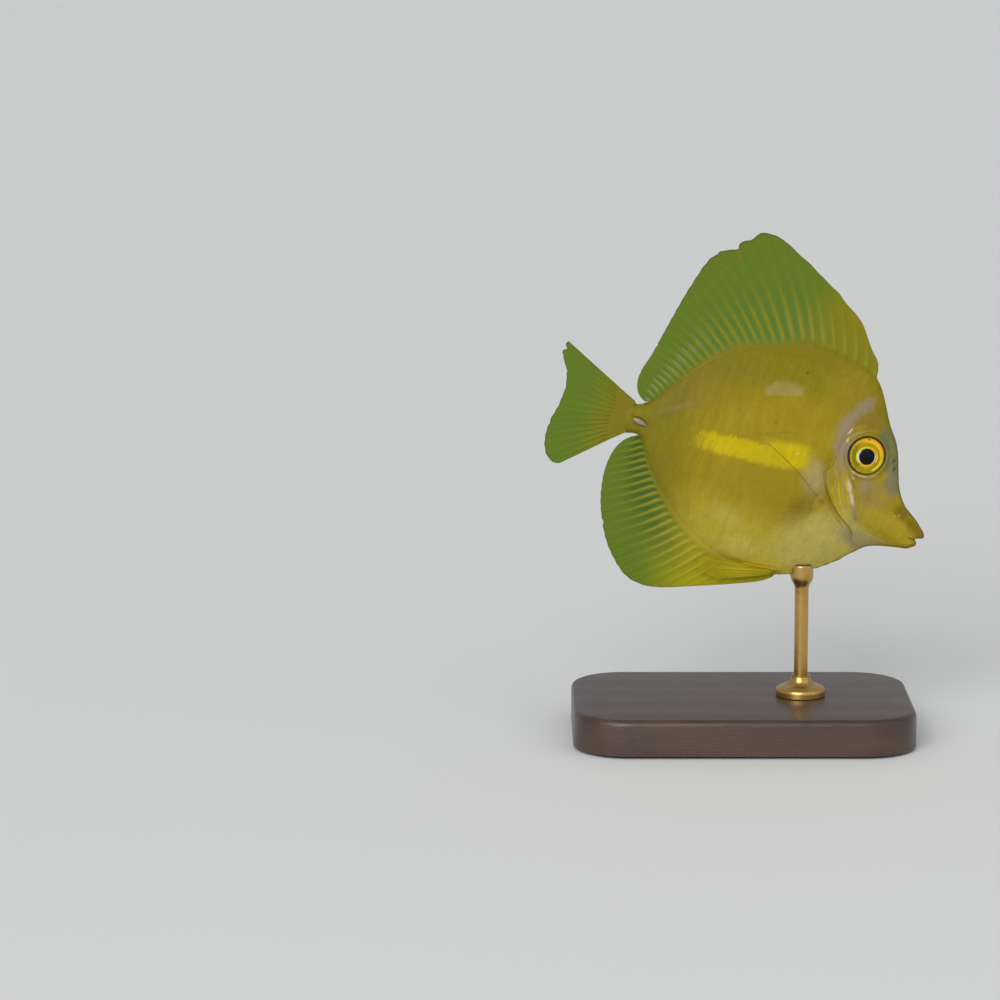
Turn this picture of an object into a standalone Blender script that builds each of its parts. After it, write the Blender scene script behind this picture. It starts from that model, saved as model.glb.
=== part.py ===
"""A young yellow tang, still and life-size, held on a plain display stand.

The fish is laid out level in its own frame: snout towards +X, back towards +Z, the middle plane
at Y = 0. Everything is worked out in millimetres, turned into metres when a piece is finished,
and tipped nose down by the empty that carries the whole fish. The world's origin is the centre
of the stand's underside.
"""

import math

import bmesh
import bpy
import numpy as np
from mathutils import Matrix, Vector
from mathutils.bvhtree import BVHTree

MM = 0.001
GAP = 0.3  # clearance between neighbouring solids
SAME_SPOT = 0.0004  # vertices closer than this are one

# Pose of the fish on its stand
NOSE_DOWN_DEG = 18.0
FISH_SHIFT = -0.45
FISH_HEIGHT = 40.0

# Side outline of the body from tail to snout, as (length, height)
BACK_LINE = [
    (-14.4, -0.85), (-13.4, -0.9), (-12.2, 0.0), (-11.3, 1.3), (-8.0, 6.1), (-4.1, 9.7),
    (0.0, 11.1), (5.0, 11.8), (10.5, 12.1), (13.0, 12.2), (14.5, 11.7), (16.0, 10.0), (18.0, 6.7),
    (20.0, 3.9), (21.8, -0.7), (23.2, -2.75), (24.8, -3.9), (25.9, -4.85),
]
BELLY_LINE = [
    (-14.4, -4.9), (-13.0, -4.7), (-12.0, -5.0), (-10.0, -8.0), (-8.0, -10.3), (-3.9, -13.7),
    (0.1, -15.8), (3.1, -16.8), (6.6, -17.2), (9.6, -16.75), (12.1, -15.9), (14.1, -14.8),
    (16.9, -12.7), (18.7, -10.9), (20.1, -9.6), (21.6, -8.95), (24.2, -8.35), (25.2, -8.2),
]
# Half of the body's thickness along its length
HALF_WIDTHS = [
    (-14.4, 0.85), (-11.0, 1.25), (-8.0, 1.65), (-4.0, 2.15), (0.0, 2.6), (4.0, 2.9),
    (8.0, 3.05), (12.0, 3.05), (16.0, 2.85), (20.0, 2.2), (23.0, 1.55), (25.0, 1.15), (26.5, 0.9),
]
KEEL_HALF_WIDTH = 0.45  # flat strip along back and belly that the fins stand on
WIDEST_LEVEL = 0.48  # where the body is widest, from 0 at the belly to 1 at the back
FLANK_FULLNESS = 2.2
FLANK_ROUNDNESS = 0.8

# Edge of the gill cover, from the throat up to the nape, where head and trunk part
GILL_LINE = [
    (18.9, -10.85), (18.0, -8.3), (16.3, -7.1), (14.6, -5.8), (13.2, -4.0), (12.5, -2.2),
    (12.6, 1.0), (12.6, 6.0), (13.4, 12.4),
]
CHEEK_LINE = [(15.0, 0.2), (15.3, -1.5), (16.0, -3.0), (17.1, -4.7), (17.8, -5.8)]
GILL_FLAP_RISE = 0.3
GILL_FLAP_REACH = 2.2
GILL_FLAP_TOP = 2.0
CHEEK_RISE = 0.18
CHEEK_SPREAD = 0.45
STALK_START = -10.8
STALK_END = -14.4

FAR_ASIDE = 20.0  # well clear of either flank

BODY_ROWS = 22
HEAD_COLUMNS = 21
TRUNK_COLUMNS = 16
STALK_COLUMNS = 5

# Eye, nostrils and mouth
EYE_CENTRE = (16.2, 2.1)
EYE_PROFILE = [(0.0, 0.62), (0.8, 0.55), (1.5, 0.34), (2.05, 0.02), (2.3, -0.35), (2.2, -0.9), (0.0, -1.0)]
EYE_STEPS = 24
ORBIT_RADIUS = 2.72
ORBIT_TUBE = 0.28
RIM_SIDES = 6
NOSTRILS = [(20.0, 2.35), (20.35, 1.35)]
NOSTRIL_RADIUS = 0.34
NOSTRIL_TUBE = 0.14
NOSTRIL_STEPS = 8
NOSTRIL_HOLE = [(0.0, 0.6), (0.17, 0.6), (0.15, -0.3), (0.0, -0.35)]
UPPER_LIP = {"centre": (25.4, -5.4), "size": (1.65, 1.02, 0.68), "dip_deg": 20.0}
LOWER_LIP = {"centre": (24.8, -7.4), "size": (1.55, 0.92, 0.66), "dip_deg": -8.0}
LIP_TURNS = 14
LIP_RINGS = 9

# Fins: the edge of each from front to rear (or top to bottom), and the pairs that say how far
# along that edge a ray ends that starts at a given share of the root
MEMBRANE_HALF = 0.25
EDGE_HALF = 0.1
RAY_RISE = 0.17
SPINE_RISE = 0.26
RAY_FOOT = 0.3
WEB_SHORTFALL = 0.012
FIN_ROWS = (0.0, 0.22, 0.46, 0.7, 0.88, 1.0)
DORSAL_ROOT = (14.3, -12.0)
DORSAL_EDGE = [
    (13.9, 13.8), (10.2, 18.2), (6.1, 20.7), (1.9, 22.95), (-2.1, 24.75), (-4.4, 25.25), (-6.2, 24.2),
    (-7.9, 22.2), (-9.7, 21.2), (-10.9, 19.5), (-11.9, 15.8), (-13.0, 10.8), (-14.1, 5.1),
    (-14.6, 3.0), (-14.3, 1.0),
]
DORSAL_FAN = [(0.0, 0.0), (0.115, 0.18), (0.35, 0.5), (0.59, 0.71), (0.75, 0.83), (1.0, 1.0)]
DORSAL_SPINES = 5
DORSAL_RAYS = 29
ANAL_ROOT = (10.3, -11.9)
ANAL_EDGE = [
    (8.6, -18.15), (5.4, -19.5), (2.1, -20.8), (-2.9, -22.7), (-5.4, -23.2), (-7.9, -22.8),
    (-10.1, -21.2), (-12.2, -18.7), (-14.0, -15.1), (-14.8, -12.1), (-15.0, -9.7), (-14.2, -6.6),
]
ANAL_FAN = [(0.0, 0.0), (0.39, 0.47), (0.81, 0.83), (1.0, 1.0)]
ANAL_SPINES = 3
ANAL_RAYS = 23
TAIL_EDGE = [
    (-24.9, 4.0), (-24.6, 1.8), (-23.5, -0.2), (-23.1, -2.2), (-23.35, -4.5), (-23.8, -7.2),
    (-23.6, -9.2), (-22.6, -10.95), (-21.0, -11.5),
]
TAIL_ROOT_TRIM = 0.15
TAIL_RAYS = 16
PECTORAL_ROOT = [(12.5, -4.8), (12.35, -5.6), (11.95, -6.35)]
PECTORAL_EDGE = [(3.2, -0.1), (1.7, -2.9), (2.2, -6.6), (4.9, -9.9), (8.4, -11.4)]
PECTORAL_RAYS = 15
PECTORAL_LIFT = 1.5
PELVIC_ROOT = [(10.9, -15.55), (10.6, -15.9), (10.35, -16.2)]
PELVIC_EDGE = [(2.5, -16.5), (2.7, -17.8), (3.6, -19.0), (6.3, -19.2)]
PELVIC_RAYS = 6
PELVIC_LIFT = 0.35
PELVIC_CLEAR = 1.25

# Blade on each side of the tail stalk
BLADE_CENTRE = (-12.7, -2.9)
BLADE_HALF_LENGTH = 1.05
BLADE_HALF_HEIGHT = 0.36
BLADE_HALF_DEPTH = 0.36
BLADE_STANDS_OUT = 0.1
BLADE_TILT_DEG = 10.0

# Stand
BASE_LENGTH = 44.0
BASE_WIDTH = 30.0
BASE_THICKNESS = 5.0
BASE_CORNER = 7.0
BASE_CORNER_STEPS = 8
BASE_BEVEL = 0.8
BASE_BEVEL_STEPS = 3
ROD_SPOT = (13.5, -15.3)  # on the belly, in the fish's own frame
ROD_RADIUS = 0.9
ROD_STEPS = 24
FOOT_RADIUS = 3.2
FOOT_HEIGHT = 1.3
FOOT_SHOULDER = 0.6
FOOT_COVE = 0.5
FOOT_NECK = 0.9
CRADLE_RADIUS = 1.5
CRADLE_DEPTH = 1.6
CRADLE_FLARE = 1.4
CRADLE_RISE = 1.1

# Colours as (red, green, blue), with roughness and metallic value
FINISHES = {
    "skin": ((0.42, 0.30, 0.03), 0.45, 0.0),
    "fin": ((0.30, 0.30, 0.03), 0.4, 0.0),
    "eye": ((0.55, 0.33, 0.02), 0.12, 0.0),
    "blade": ((0.75, 0.72, 0.62), 0.35, 0.0),
    "wood": ((0.09, 0.045, 0.022), 0.45, 0.0),
    "brass": ((0.70, 0.48, 0.18), 0.28, 1.0),
}


def clear_scene():
    for old in list(bpy.data.objects):
        bpy.data.objects.remove(old, do_unlink=True)


def make_materials():
    """One Principled material for each finish."""
    made = {}
    for name, (colour, roughness, metallic) in FINISHES.items():
        material = bpy.data.materials.new(name)
        material.use_nodes = True
        shader = material.node_tree.nodes["Principled BSDF"]
        shader.inputs["Base Color"].default_value = (*colour, 1.0)
        shader.inputs["Roughness"].default_value = roughness
        shader.inputs["Metallic"].default_value = metallic
        made[name] = material
    return made


def smooth_line(points, steps=10):
    """A Catmull-Rom line through the points, as an array of (length, height)."""
    knots = np.array([points[0], *points, points[-1]], dtype=float)
    line = []
    for before, start, end, after in zip(knots, knots[1:], knots[2:], knots[3:]):
        for t in np.arange(steps) / steps:
            line.append(
                0.5 * (2 * start + (end - before) * t
                       + (2 * before - 5 * start + 4 * end - after) * t**2
                       + (3 * start - before - 3 * end + after) * t**3)
            )
    line.append(knots[-1])
    return np.array(line)


def spread(line, shares):
    """Points at the given shares of a line's length."""
    steps = np.linalg.norm(np.diff(line, axis=0), axis=1)
    run = np.concatenate([[0.0], np.cumsum(steps)])
    at = np.asarray(shares) * run[-1]
    return np.column_stack([np.interp(at, run, line[:, axis]) for axis in (0, 1)])


def stretch(line, start, end, steps=120):
    """The stretch of a body outline between two lengths."""
    lengths = np.linspace(start, end, steps)
    return np.column_stack([lengths, np.interp(lengths, line[:, 0], line[:, 1])])


def beside(line, distance):
    """A line moved to its left by a distance."""
    run = np.gradient(line, axis=0)
    run /= np.linalg.norm(run, axis=1)[:, None]
    return line + distance * np.column_stack([-run[:, 1], run[:, 0]])


BACK = smooth_line(BACK_LINE)
BELLY = smooth_line(BELLY_LINE)
WIDTHS = smooth_line(HALF_WIDTHS)
GILL = smooth_line(GILL_LINE)
CHEEK = smooth_line(CHEEK_LINE)


def blend_borders(rear, front, low, high):
    """A grid of side-view points, [column][row], blended from its four borders."""
    up = np.linspace(0.0, 1.0, len(rear))[None, :, None]
    along = np.linspace(0.0, 1.0, len(low))[:, None, None]
    sides = (1 - along) * rear[None] + along * front[None]
    ends = (1 - up) * low[:, None] + up * high[:, None]
    corners = (1 - along) * ((1 - up) * rear[0] + up * rear[-1])
    corners = corners + along * ((1 - up) * front[0] + up * front[-1])
    return sides + ends - corners


def flank_width(length, level):
    """Half of the body's thickness at a length, level 0 being the belly and 1 the back."""
    widest = np.interp(length, WIDTHS[:, 0], WIDTHS[:, 1])
    keel = min(KEEL_HALF_WIDTH, 0.55 * widest)
    room = WIDEST_LEVEL if level < WIDEST_LEVEL else 1.0 - WIDEST_LEVEL
    reach = min(abs(level - WIDEST_LEVEL) / room, 1.0)
    return keel + (widest - keel) * (1.0 - reach**FLANK_FULLNESS) ** FLANK_ROUNDNESS


def head_relief(spot):
    """How far the gill flap and the cheek stand out at a point of the head."""
    to_gill = np.linalg.norm(GILL - spot, axis=1).min()
    to_cheek = np.linalg.norm(CHEEK - spot, axis=1).min()
    below_top = min(max((GILL_FLAP_TOP - spot[1]) / GILL_FLAP_REACH, 0.0), 1.0)
    flap = GILL_FLAP_RISE * max(1.0 - to_gill / GILL_FLAP_REACH, 0.0) * below_top
    return flap + CHEEK_RISE * math.exp(-((to_cheek / CHEEK_SPREAD) ** 2))


def body_shell(grid, relief=None):
    """Closed mesh of a stretch of the body, from its side-view grid."""
    shell = bmesh.new()
    levels = np.linspace(0.0, 1.0, grid.shape[1])
    rings = []
    for column in grid:
        left = []
        right = []
        for spot, level in zip(column, levels):
            width = flank_width(spot[0], level)
            if relief is not None and 0.0 < level < 1.0:
                width += relief(spot)
            left.append(shell.verts.new((spot[0], width, spot[1])))
            right.append(shell.verts.new((spot[0], -width, spot[1])))
        rings.append(left + right[::-1])
    count = len(rings[0])
    for near, far in zip(rings, rings[1:]):
        for i in range(count):
            j = (i + 1) % count
            shell.faces.new((near[i], near[j], far[j], far[i]))
    for ring in (rings[0], rings[-1]):
        for i in range(count // 2 - 1):
            shell.faces.new((ring[i], ring[i + 1], ring[-2 - i], ring[-1 - i]))
    bmesh.ops.recalc_face_normals(shell, faces=shell.faces)
    return shell


def head_shell():
    rear = spread(GILL, np.linspace(0.0, 1.0, BODY_ROWS))
    shares = np.linspace(0.0, 1.0, HEAD_COLUMNS)
    low = spread(stretch(BELLY, GILL[0][0], BELLY[-1][0]), shares)
    high = spread(stretch(BACK, GILL[-1][0], BACK[-1][0]), shares)
    rear[0], rear[-1] = low[0], high[0]
    front = np.linspace(low[-1], high[-1], BODY_ROWS)
    return body_shell(blend_borders(rear, front, low, high), head_relief)


def trunk_shell():
    front = spread(beside(GILL, GAP), np.linspace(0.0, 1.0, BODY_ROWS))
    shares = np.linspace(0.0, 1.0, TRUNK_COLUMNS)
    low = spread(stretch(BELLY, STALK_START, GILL[0][0] - GAP), shares)
    high = spread(stretch(BACK, STALK_START, GILL[-1][0] - GAP), shares)
    front[0], front[-1] = low[-1], high[-1]
    rear = np.linspace(low[0], high[0], BODY_ROWS)
    return body_shell(blend_borders(rear, front, low, high))


def stalk_shell():
    low = stretch(BELLY, STALK_END, STALK_START - GAP, STALK_COLUMNS)
    high = stretch(BACK, STALK_END, STALK_START - GAP, STALK_COLUMNS)
    rows = BODY_ROWS // 2
    rear = np.linspace(low[0], high[0], rows)
    front = np.linspace(low[-1], high[-1], rows)
    return body_shell(blend_borders(rear, front, low, high))


def skin_side(tree, length, height, side):
    """Where a line across the fish at a side-view point meets the skin, or None."""
    start = Vector((length, side * FAR_ASIDE, height))
    return tree.ray_cast(start, Vector((0.0, -side, 0.0)))[0]


def seat_frame(tree, centre, radius, side):
    """Matrix with its Z axis straight out of the skin at a side-view point, and X forwards."""
    length, height = centre
    middle = skin_side(tree, length, height, side)
    ahead = skin_side(tree, length + radius, height, side)
    behind = skin_side(tree, length - radius, height, side)
    above = skin_side(tree, length, height + radius, side)
    below = skin_side(tree, length, height - radius, side)
    out = (ahead - behind).cross(above - below).normalized()
    out = out if out.y * side > 0.0 else -out
    forward = (Vector((1.0, 0.0, 0.0)) - out * out.x).normalized()
    turn = Matrix((forward, out.cross(forward), out)).transposed().to_4x4()
    rim = (ahead + behind + above + below) / 4.0
    seat = middle.lerp(rim, 0.5)
    return Matrix.Translation(seat) @ turn


def turned(profile, steps, frame, grow=0.0):
    """Closed mesh turned round the frame's Z axis, from a profile of (radius, height)."""
    solid = bmesh.new()
    points = []
    for radius, height in profile:
        lift = grow if height >= 0.0 else -grow
        points.append(solid.verts.new((radius + grow if radius else 0.0, 0.0, height + lift)))
    edges = [solid.edges.new(pair) for pair in zip(points, points[1:])]
    bmesh.ops.spin(
        solid, geom=points + edges, cent=(0.0, 0.0, 0.0), axis=(0.0, 0.0, 1.0),
        angle=math.tau, steps=steps, use_merge=False,
    )
    bmesh.ops.remove_doubles(solid, verts=solid.verts, dist=SAME_SPOT)
    solid.transform(frame)
    bmesh.ops.recalc_face_normals(solid, faces=solid.faces)
    return solid


def ring_tube(path, up, radius):
    """Closed tube of one radius round a closed path of points."""
    tube = bmesh.new()
    rings = []
    for i, spot in enumerate(path):
        run = (path[(i + 1) % len(path)] - path[i - 1]).normalized()
        across = run.cross(up).normalized()
        over = across.cross(run)
        ring = []
        for k in range(RIM_SIDES):
            angle = math.tau * (k + 0.5) / RIM_SIDES
            offset = math.cos(angle) * across + math.sin(angle) * over
            ring.append(tube.verts.new(spot + radius * offset))
        rings.append(ring)
    for near, far in zip(rings, rings[1:] + rings[:1]):
        for k in range(RIM_SIDES):
            j = (k + 1) % RIM_SIDES
            tube.faces.new((near[k], near[j], far[j], far[k]))
    bmesh.ops.recalc_face_normals(tube, faces=tube.faces)
    return tube


def rim_on_skin(tree, centre, radius, tube, side, count):
    """A low rim that lies on the skin all round a side-view point."""
    path = []
    for i in range(count):
        angle = math.tau * (i + 0.5) / count
        path.append(skin_side(
            tree, centre[0] + radius * math.cos(angle), centre[1] + radius * math.sin(angle), side))
    return ring_tube(path, Vector((0.0, side, 0.0)), tube)


def lip(centre, size, dip_deg):
    """A rounded lip at the end of the snout, long along it and dipping by an angle."""
    made = bmesh.new()
    bmesh.ops.create_uvsphere(made, u_segments=LIP_TURNS, v_segments=LIP_RINGS, radius=1.0)
    upright = Matrix.Rotation(math.radians(90.0), 4, "Y")
    dip = Matrix.Rotation(math.radians(dip_deg), 4, "Y")
    spot = Matrix.Translation((centre[0], 0.0, centre[1]))
    made.transform(spot @ dip @ Matrix.Diagonal((*size, 1.0)) @ upright)
    return made


def helper(name, mesh_data):
    """A passing object in millimetres, for fusing and cutting."""
    mesh = bpy.data.meshes.new(name)
    mesh_data.to_mesh(mesh)
    mesh_data.free()
    made = bpy.data.objects.new(name, mesh)
    bpy.context.scene.collection.objects.link(made)
    return made


def combine(body, pieces, operation):
    """Fuses the closed pieces to a body, or cuts them out of it, in one Boolean."""
    group = bpy.data.collections.new("pieces")
    for number, piece in enumerate(pieces):
        made = helper(f"piece_{number}", piece)
        bpy.context.scene.collection.objects.unlink(made)
        group.objects.link(made)
    bpy.context.scene.collection.children.link(group)
    whole = helper("whole", body)
    boolean = whole.modifiers.new("combine", "BOOLEAN")
    boolean.operation = operation
    boolean.operand_type = "COLLECTION"
    boolean.collection = group
    boolean.solver = "EXACT"
    graph = bpy.context.evaluated_depsgraph_get()
    result = bmesh.new()
    result.from_object(whole, graph)
    for made in [whole, *group.objects]:
        bpy.data.objects.remove(made, do_unlink=True)
    bpy.data.collections.remove(group)
    bmesh.ops.remove_doubles(result, verts=result.verts, dist=SAME_SPOT)
    keep_largest(result)
    return result


def keep_largest(solid):
    """Leaves only the largest closed surface."""
    seen = set()
    islands = []
    for first in solid.verts:
        if first in seen:
            continue
        island = {first}
        edge = [first]
        while edge:
            for link in edge.pop().link_edges:
                for vertex in link.verts:
                    if vertex not in island:
                        island.add(vertex)
                        edge.append(vertex)
        seen |= island
        islands.append(island)
    islands.sort(key=len)
    loose = [vertex for island in islands[:-1] for vertex in island]
    bmesh.ops.delete(solid, geom=loose, context="VERTS")


def finish(name, solid, material, parent=None, smooth_deg=40.0):
    """Turns a mesh in millimetres into a finished object in metres."""
    solid.transform(Matrix.Scale(MM, 4))
    mesh = bpy.data.meshes.new(name)
    solid.to_mesh(mesh)
    solid.free()
    mesh.shade_smooth()
    mesh.set_sharp_from_angle(angle=math.radians(smooth_deg))
    mesh.materials.append(material)
    made = bpy.data.objects.new(name, mesh)
    bpy.context.scene.collection.objects.link(made)
    made.parent = parent
    return made


def make_head(trees, materials, pose):
    """Head with gill cover, eye sockets and their rims, nostrils and lips."""
    skull = head_shell()
    tree = BVHTree.FromBMesh(skull)
    trees["head"] = tree
    raised = [lip(**UPPER_LIP), lip(**LOWER_LIP)]
    cuts = []
    for side in (1, -1):
        raised.append(rim_on_skin(tree, EYE_CENTRE, ORBIT_RADIUS, ORBIT_TUBE, side, EYE_STEPS))
        seat = seat_frame(tree, EYE_CENTRE, ORBIT_RADIUS, side)
        cuts.append(turned(EYE_PROFILE, EYE_STEPS, seat, grow=GAP))
        for spot in NOSTRILS:
            raised.append(rim_on_skin(tree, spot, NOSTRIL_RADIUS, NOSTRIL_TUBE, side, NOSTRIL_STEPS))
            pit = seat_frame(tree, spot, NOSTRIL_RADIUS, side)
            cuts.append(turned(NOSTRIL_HOLE, NOSTRIL_STEPS, pit))
    skull = combine(skull, raised, "UNION")
    skull = combine(skull, cuts, "DIFFERENCE")
    finish("head", skull, materials["skin"], pose)
    for side, name in ((1, "eye_left"), (-1, "eye_right")):
        ball = turned(EYE_PROFILE, EYE_STEPS, seat_frame(tree, EYE_CENTRE, ORBIT_RADIUS, side))
        finish(name, ball, materials["eye"], pose)


def make_trunk(trees, materials, pose):
    trunk = trunk_shell()
    trees["trunk"] = BVHTree.FromBMesh(trunk)
    grown = trunk.copy()
    finish("trunk", trunk, materials["skin"], pose)
    return grown


def blade_mesh(side, depth_at, grow=0.0):
    """A lens-shaped blade, long along the stalk and leaning a little nose down."""
    blade = bmesh.new()
    bmesh.ops.create_icosphere(blade, subdivisions=2, radius=1.0)
    size = Matrix.Diagonal((
        BLADE_HALF_LENGTH + grow, BLADE_HALF_DEPTH + grow, BLADE_HALF_HEIGHT + grow, 1.0))
    lean = Matrix.Rotation(math.radians(BLADE_TILT_DEG), 4, "Y")
    spot = Matrix.Translation((BLADE_CENTRE[0], side * depth_at, BLADE_CENTRE[1]))
    blade.transform(spot @ lean @ size)
    return blade


def make_stalk(materials, pose):
    """Tail stalk with a groove on each side and the blade that lies in it."""
    stalk = stalk_shell()
    tree = BVHTree.FromBMesh(stalk)
    skin = skin_side(tree, *BLADE_CENTRE, 1).y
    depth_at = skin + BLADE_STANDS_OUT
    grooves = [blade_mesh(side, depth_at, GAP) for side in (1, -1)]
    finish("tail_stalk", combine(stalk, grooves, "DIFFERENCE"), materials["skin"], pose)
    for side, name in ((1, "tail_blade_left"), (-1, "tail_blade_right")):
        finish(name, blade_mesh(side, depth_at), materials["blade"], pose)


def ray_columns(rays, spines):
    """Columns of a fin's grid, as (share of the root, how far the ray stands out there)."""
    columns = []
    for ray in range(rays):
        rise = SPINE_RISE if ray < spines else RAY_RISE
        for offset in (-RAY_FOOT, 0.0, RAY_FOOT):
            share = (ray + offset) / (rays - 1)
            if 0.0 <= share <= 1.0:
                columns.append((share, 0.0 if offset else rise))
    return columns


def fin_plate(root, edge, fan, rays, spines, middle):
    """Closed mesh of a fin whose rays are ridges raised in the membrane on both faces.

    middle gives the height of the fin's middle surface off the fish's own, at a side-view point
    and a share of the way out.
    """
    plate = bmesh.new()
    faces = []
    for share, rise in ray_columns(rays, spines):
        start = spread(root, [share])[0]
        tip = spread(edge, [np.interp(share, *zip(*fan))])[0]
        near_side = []
        far_side = []
        for out in FIN_ROWS:
            reach = out * (1.0 if rise else 1.0 - WEB_SHORTFALL)
            spot = start + (tip - start) * reach
            thin = max((out - FIN_ROWS[-2]) / (1.0 - FIN_ROWS[-2]), 0.0)
            half = MEMBRANE_HALF + (EDGE_HALF - MEMBRANE_HALF) * thin + rise * (1.0 - 0.7 * out)
            level = middle(spot, out)
            near_side.append(plate.verts.new((spot[0], level + half, spot[1])))
            far_side.append(plate.verts.new((spot[0], level - half, spot[1])))
        faces.append((near_side, far_side))
    rows = len(FIN_ROWS)
    for (near_a, far_a), (near_b, far_b) in zip(faces, faces[1:]):
        for i in range(rows - 1):
            plate.faces.new((near_a[i], near_b[i], near_b[i + 1]))
            plate.faces.new((near_a[i], near_b[i + 1], near_a[i + 1]))
            plate.faces.new((far_a[i], far_b[i + 1], far_b[i]))
            plate.faces.new((far_a[i], far_a[i + 1], far_b[i + 1]))
        plate.faces.new((near_a[0], far_a[0], far_b[0], near_b[0]))
        plate.faces.new((near_a[-1], near_b[-1], far_b[-1], far_a[-1]))
    for near_end, far_end in (faces[0], faces[-1]):
        for i in range(rows - 1):
            plate.faces.new((near_end[i], near_end[i + 1], far_end[i + 1], far_end[i]))
    bmesh.ops.recalc_face_normals(plate, faces=plate.faces)
    return plate


def make_median_fins(materials, pose):
    """The fins that stand in the middle plane: back, belly and tail."""
    def flat(spot, out):
        return 0.0

    evenly = [(0.0, 0.0), (1.0, 1.0)]
    back = beside(stretch(BACK, *DORSAL_ROOT), -GAP)
    belly = beside(stretch(BELLY, *ANAL_ROOT), GAP)
    low, high = BELLY[0][1] + TAIL_ROOT_TRIM, BACK[0][1] - TAIL_ROOT_TRIM
    tail = np.linspace((STALK_END - GAP, high), (STALK_END - GAP, low), 12)
    dorsal = fin_plate(back, smooth_line(DORSAL_EDGE), DORSAL_FAN, DORSAL_RAYS, DORSAL_SPINES, flat)
    finish("dorsal_fin", dorsal, materials["fin"], pose)
    anal = fin_plate(belly, smooth_line(ANAL_EDGE), ANAL_FAN, ANAL_RAYS, ANAL_SPINES, flat)
    finish("anal_fin", anal, materials["fin"], pose)
    caudal = fin_plate(tail, smooth_line(TAIL_EDGE), evenly, TAIL_RAYS, 0, flat)
    finish("tail_fin", caudal, materials["fin"], pose)


def make_paired_fins(trees, materials, pose):
    """Breast and belly fins, laid back along the flanks."""
    fins = {
        "pectoral_fin": (PECTORAL_ROOT, PECTORAL_EDGE, PECTORAL_RAYS, PECTORAL_LIFT, 0.0),
        "pelvic_fin": (PELVIC_ROOT, PELVIC_EDGE, PELVIC_RAYS, PELVIC_LIFT, PELVIC_CLEAR),
    }
    evenly = [(0.0, 0.0), (1.0, 1.0)]
    standing = GAP + MEMBRANE_HALF + RAY_RISE
    for kind, (root, edge, rays, lift, clear) in fins.items():
        for side, word in ((1, "left"), (-1, "right")):
            def along_flank(spot, out):
                skin = skin_side(trees["trunk"], *spot, side)
                off = abs(skin.y) + standing if skin else clear
                return side * (max(off, clear) + lift * out)

            plate = fin_plate(smooth_line(root), smooth_line(edge), evenly, rays, 1, along_flank)
            finish(f"{kind}_{word}", plate, materials["fin"], pose)


def make_stand(grown_trunk, materials, pose):
    """A wooden base and a turned rod whose top is hollowed to the belly."""
    base = bmesh.new()
    bmesh.ops.create_cube(base, size=1.0)
    base.transform(
        Matrix.Translation((0.0, 0.0, BASE_THICKNESS / 2))
        @ Matrix.Diagonal((BASE_LENGTH, BASE_WIDTH, BASE_THICKNESS, 1.0)))
    uprights = [edge for edge in base.edges if edge.verts[0].co.xy == edge.verts[1].co.xy]
    bmesh.ops.bevel(
        base, geom=uprights, offset=BASE_CORNER, segments=BASE_CORNER_STEPS, profile=0.5,
        affect="EDGES")
    brim = [edge for edge in base.edges if all(v.co.z > BASE_THICKNESS / 2 for v in edge.verts)]
    bmesh.ops.bevel(
        base, geom=brim, offset=BASE_BEVEL, segments=BASE_BEVEL_STEPS, profile=0.5, affect="EDGES")
    finish("stand_base", base, materials["wood"])

    belly_spot = pose.matrix_basis @ (Vector((ROD_SPOT[0], 0.0, ROD_SPOT[1])) * MM) / MM
    foot = BASE_THICKNESS + GAP
    top = belly_spot.z + CRADLE_RISE
    profile = [
        (0.0, foot), (FOOT_RADIUS, foot), (FOOT_RADIUS, foot + FOOT_HEIGHT / 2),
        (FOOT_RADIUS - FOOT_SHOULDER, foot + FOOT_HEIGHT),
        (ROD_RADIUS + FOOT_COVE, foot + FOOT_HEIGHT + FOOT_NECK / 4),
        (ROD_RADIUS, foot + FOOT_HEIGHT + FOOT_NECK),
        (ROD_RADIUS, top - CRADLE_DEPTH - CRADLE_FLARE),
        (CRADLE_RADIUS, top - CRADLE_DEPTH), (CRADLE_RADIUS, top), (0.0, top),
    ]
    rod = turned(profile, ROD_STEPS, Matrix.Translation((belly_spot.x, 0.0, 0.0)))
    grown_trunk.normal_update()
    for vertex in grown_trunk.verts:
        vertex.co += vertex.normal * GAP * vertex.calc_shell_factor()
    place = pose.matrix_basis.copy()
    place.translation /= MM
    grown_trunk.transform(place)
    rod = combine(rod, [grown_trunk], "DIFFERENCE")
    finish("stand_rod", rod, materials["brass"])


def main():
    clear_scene()
    materials = make_materials()
    pose = bpy.data.objects.new("fish_pose", None)
    pose.location = (FISH_SHIFT * MM, 0.0, FISH_HEIGHT * MM)
    pose.rotation_euler = (0.0, math.radians(NOSE_DOWN_DEG), 0.0)
    bpy.context.scene.collection.objects.link(pose)
    trees = {}
    make_head(trees, materials, pose)
    grown_trunk = make_trunk(trees, materials, pose)
    make_stalk(materials, pose)
    make_median_fins(materials, pose)
    make_paired_fins(trees, materials, pose)
    make_stand(grown_trunk, materials, pose)


main()
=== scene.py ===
"""Young yellow tang on a display stand: skin, scales, eyes, fins and finishes over its solid body.

The fish is laid out level in its own frame, in millimetres: snout towards +X, back towards +Z, the
middle plane at Y = 0. tip_down() then takes each mesh to its place on the stand, in metres.
"""

import math

import bpy
import numpy as np
from bpy.props import FloatProperty, FloatVectorProperty, IntProperty, PointerProperty
from mathutils import Matrix, Vector
from mathutils.bvhtree import BVHTree


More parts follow.
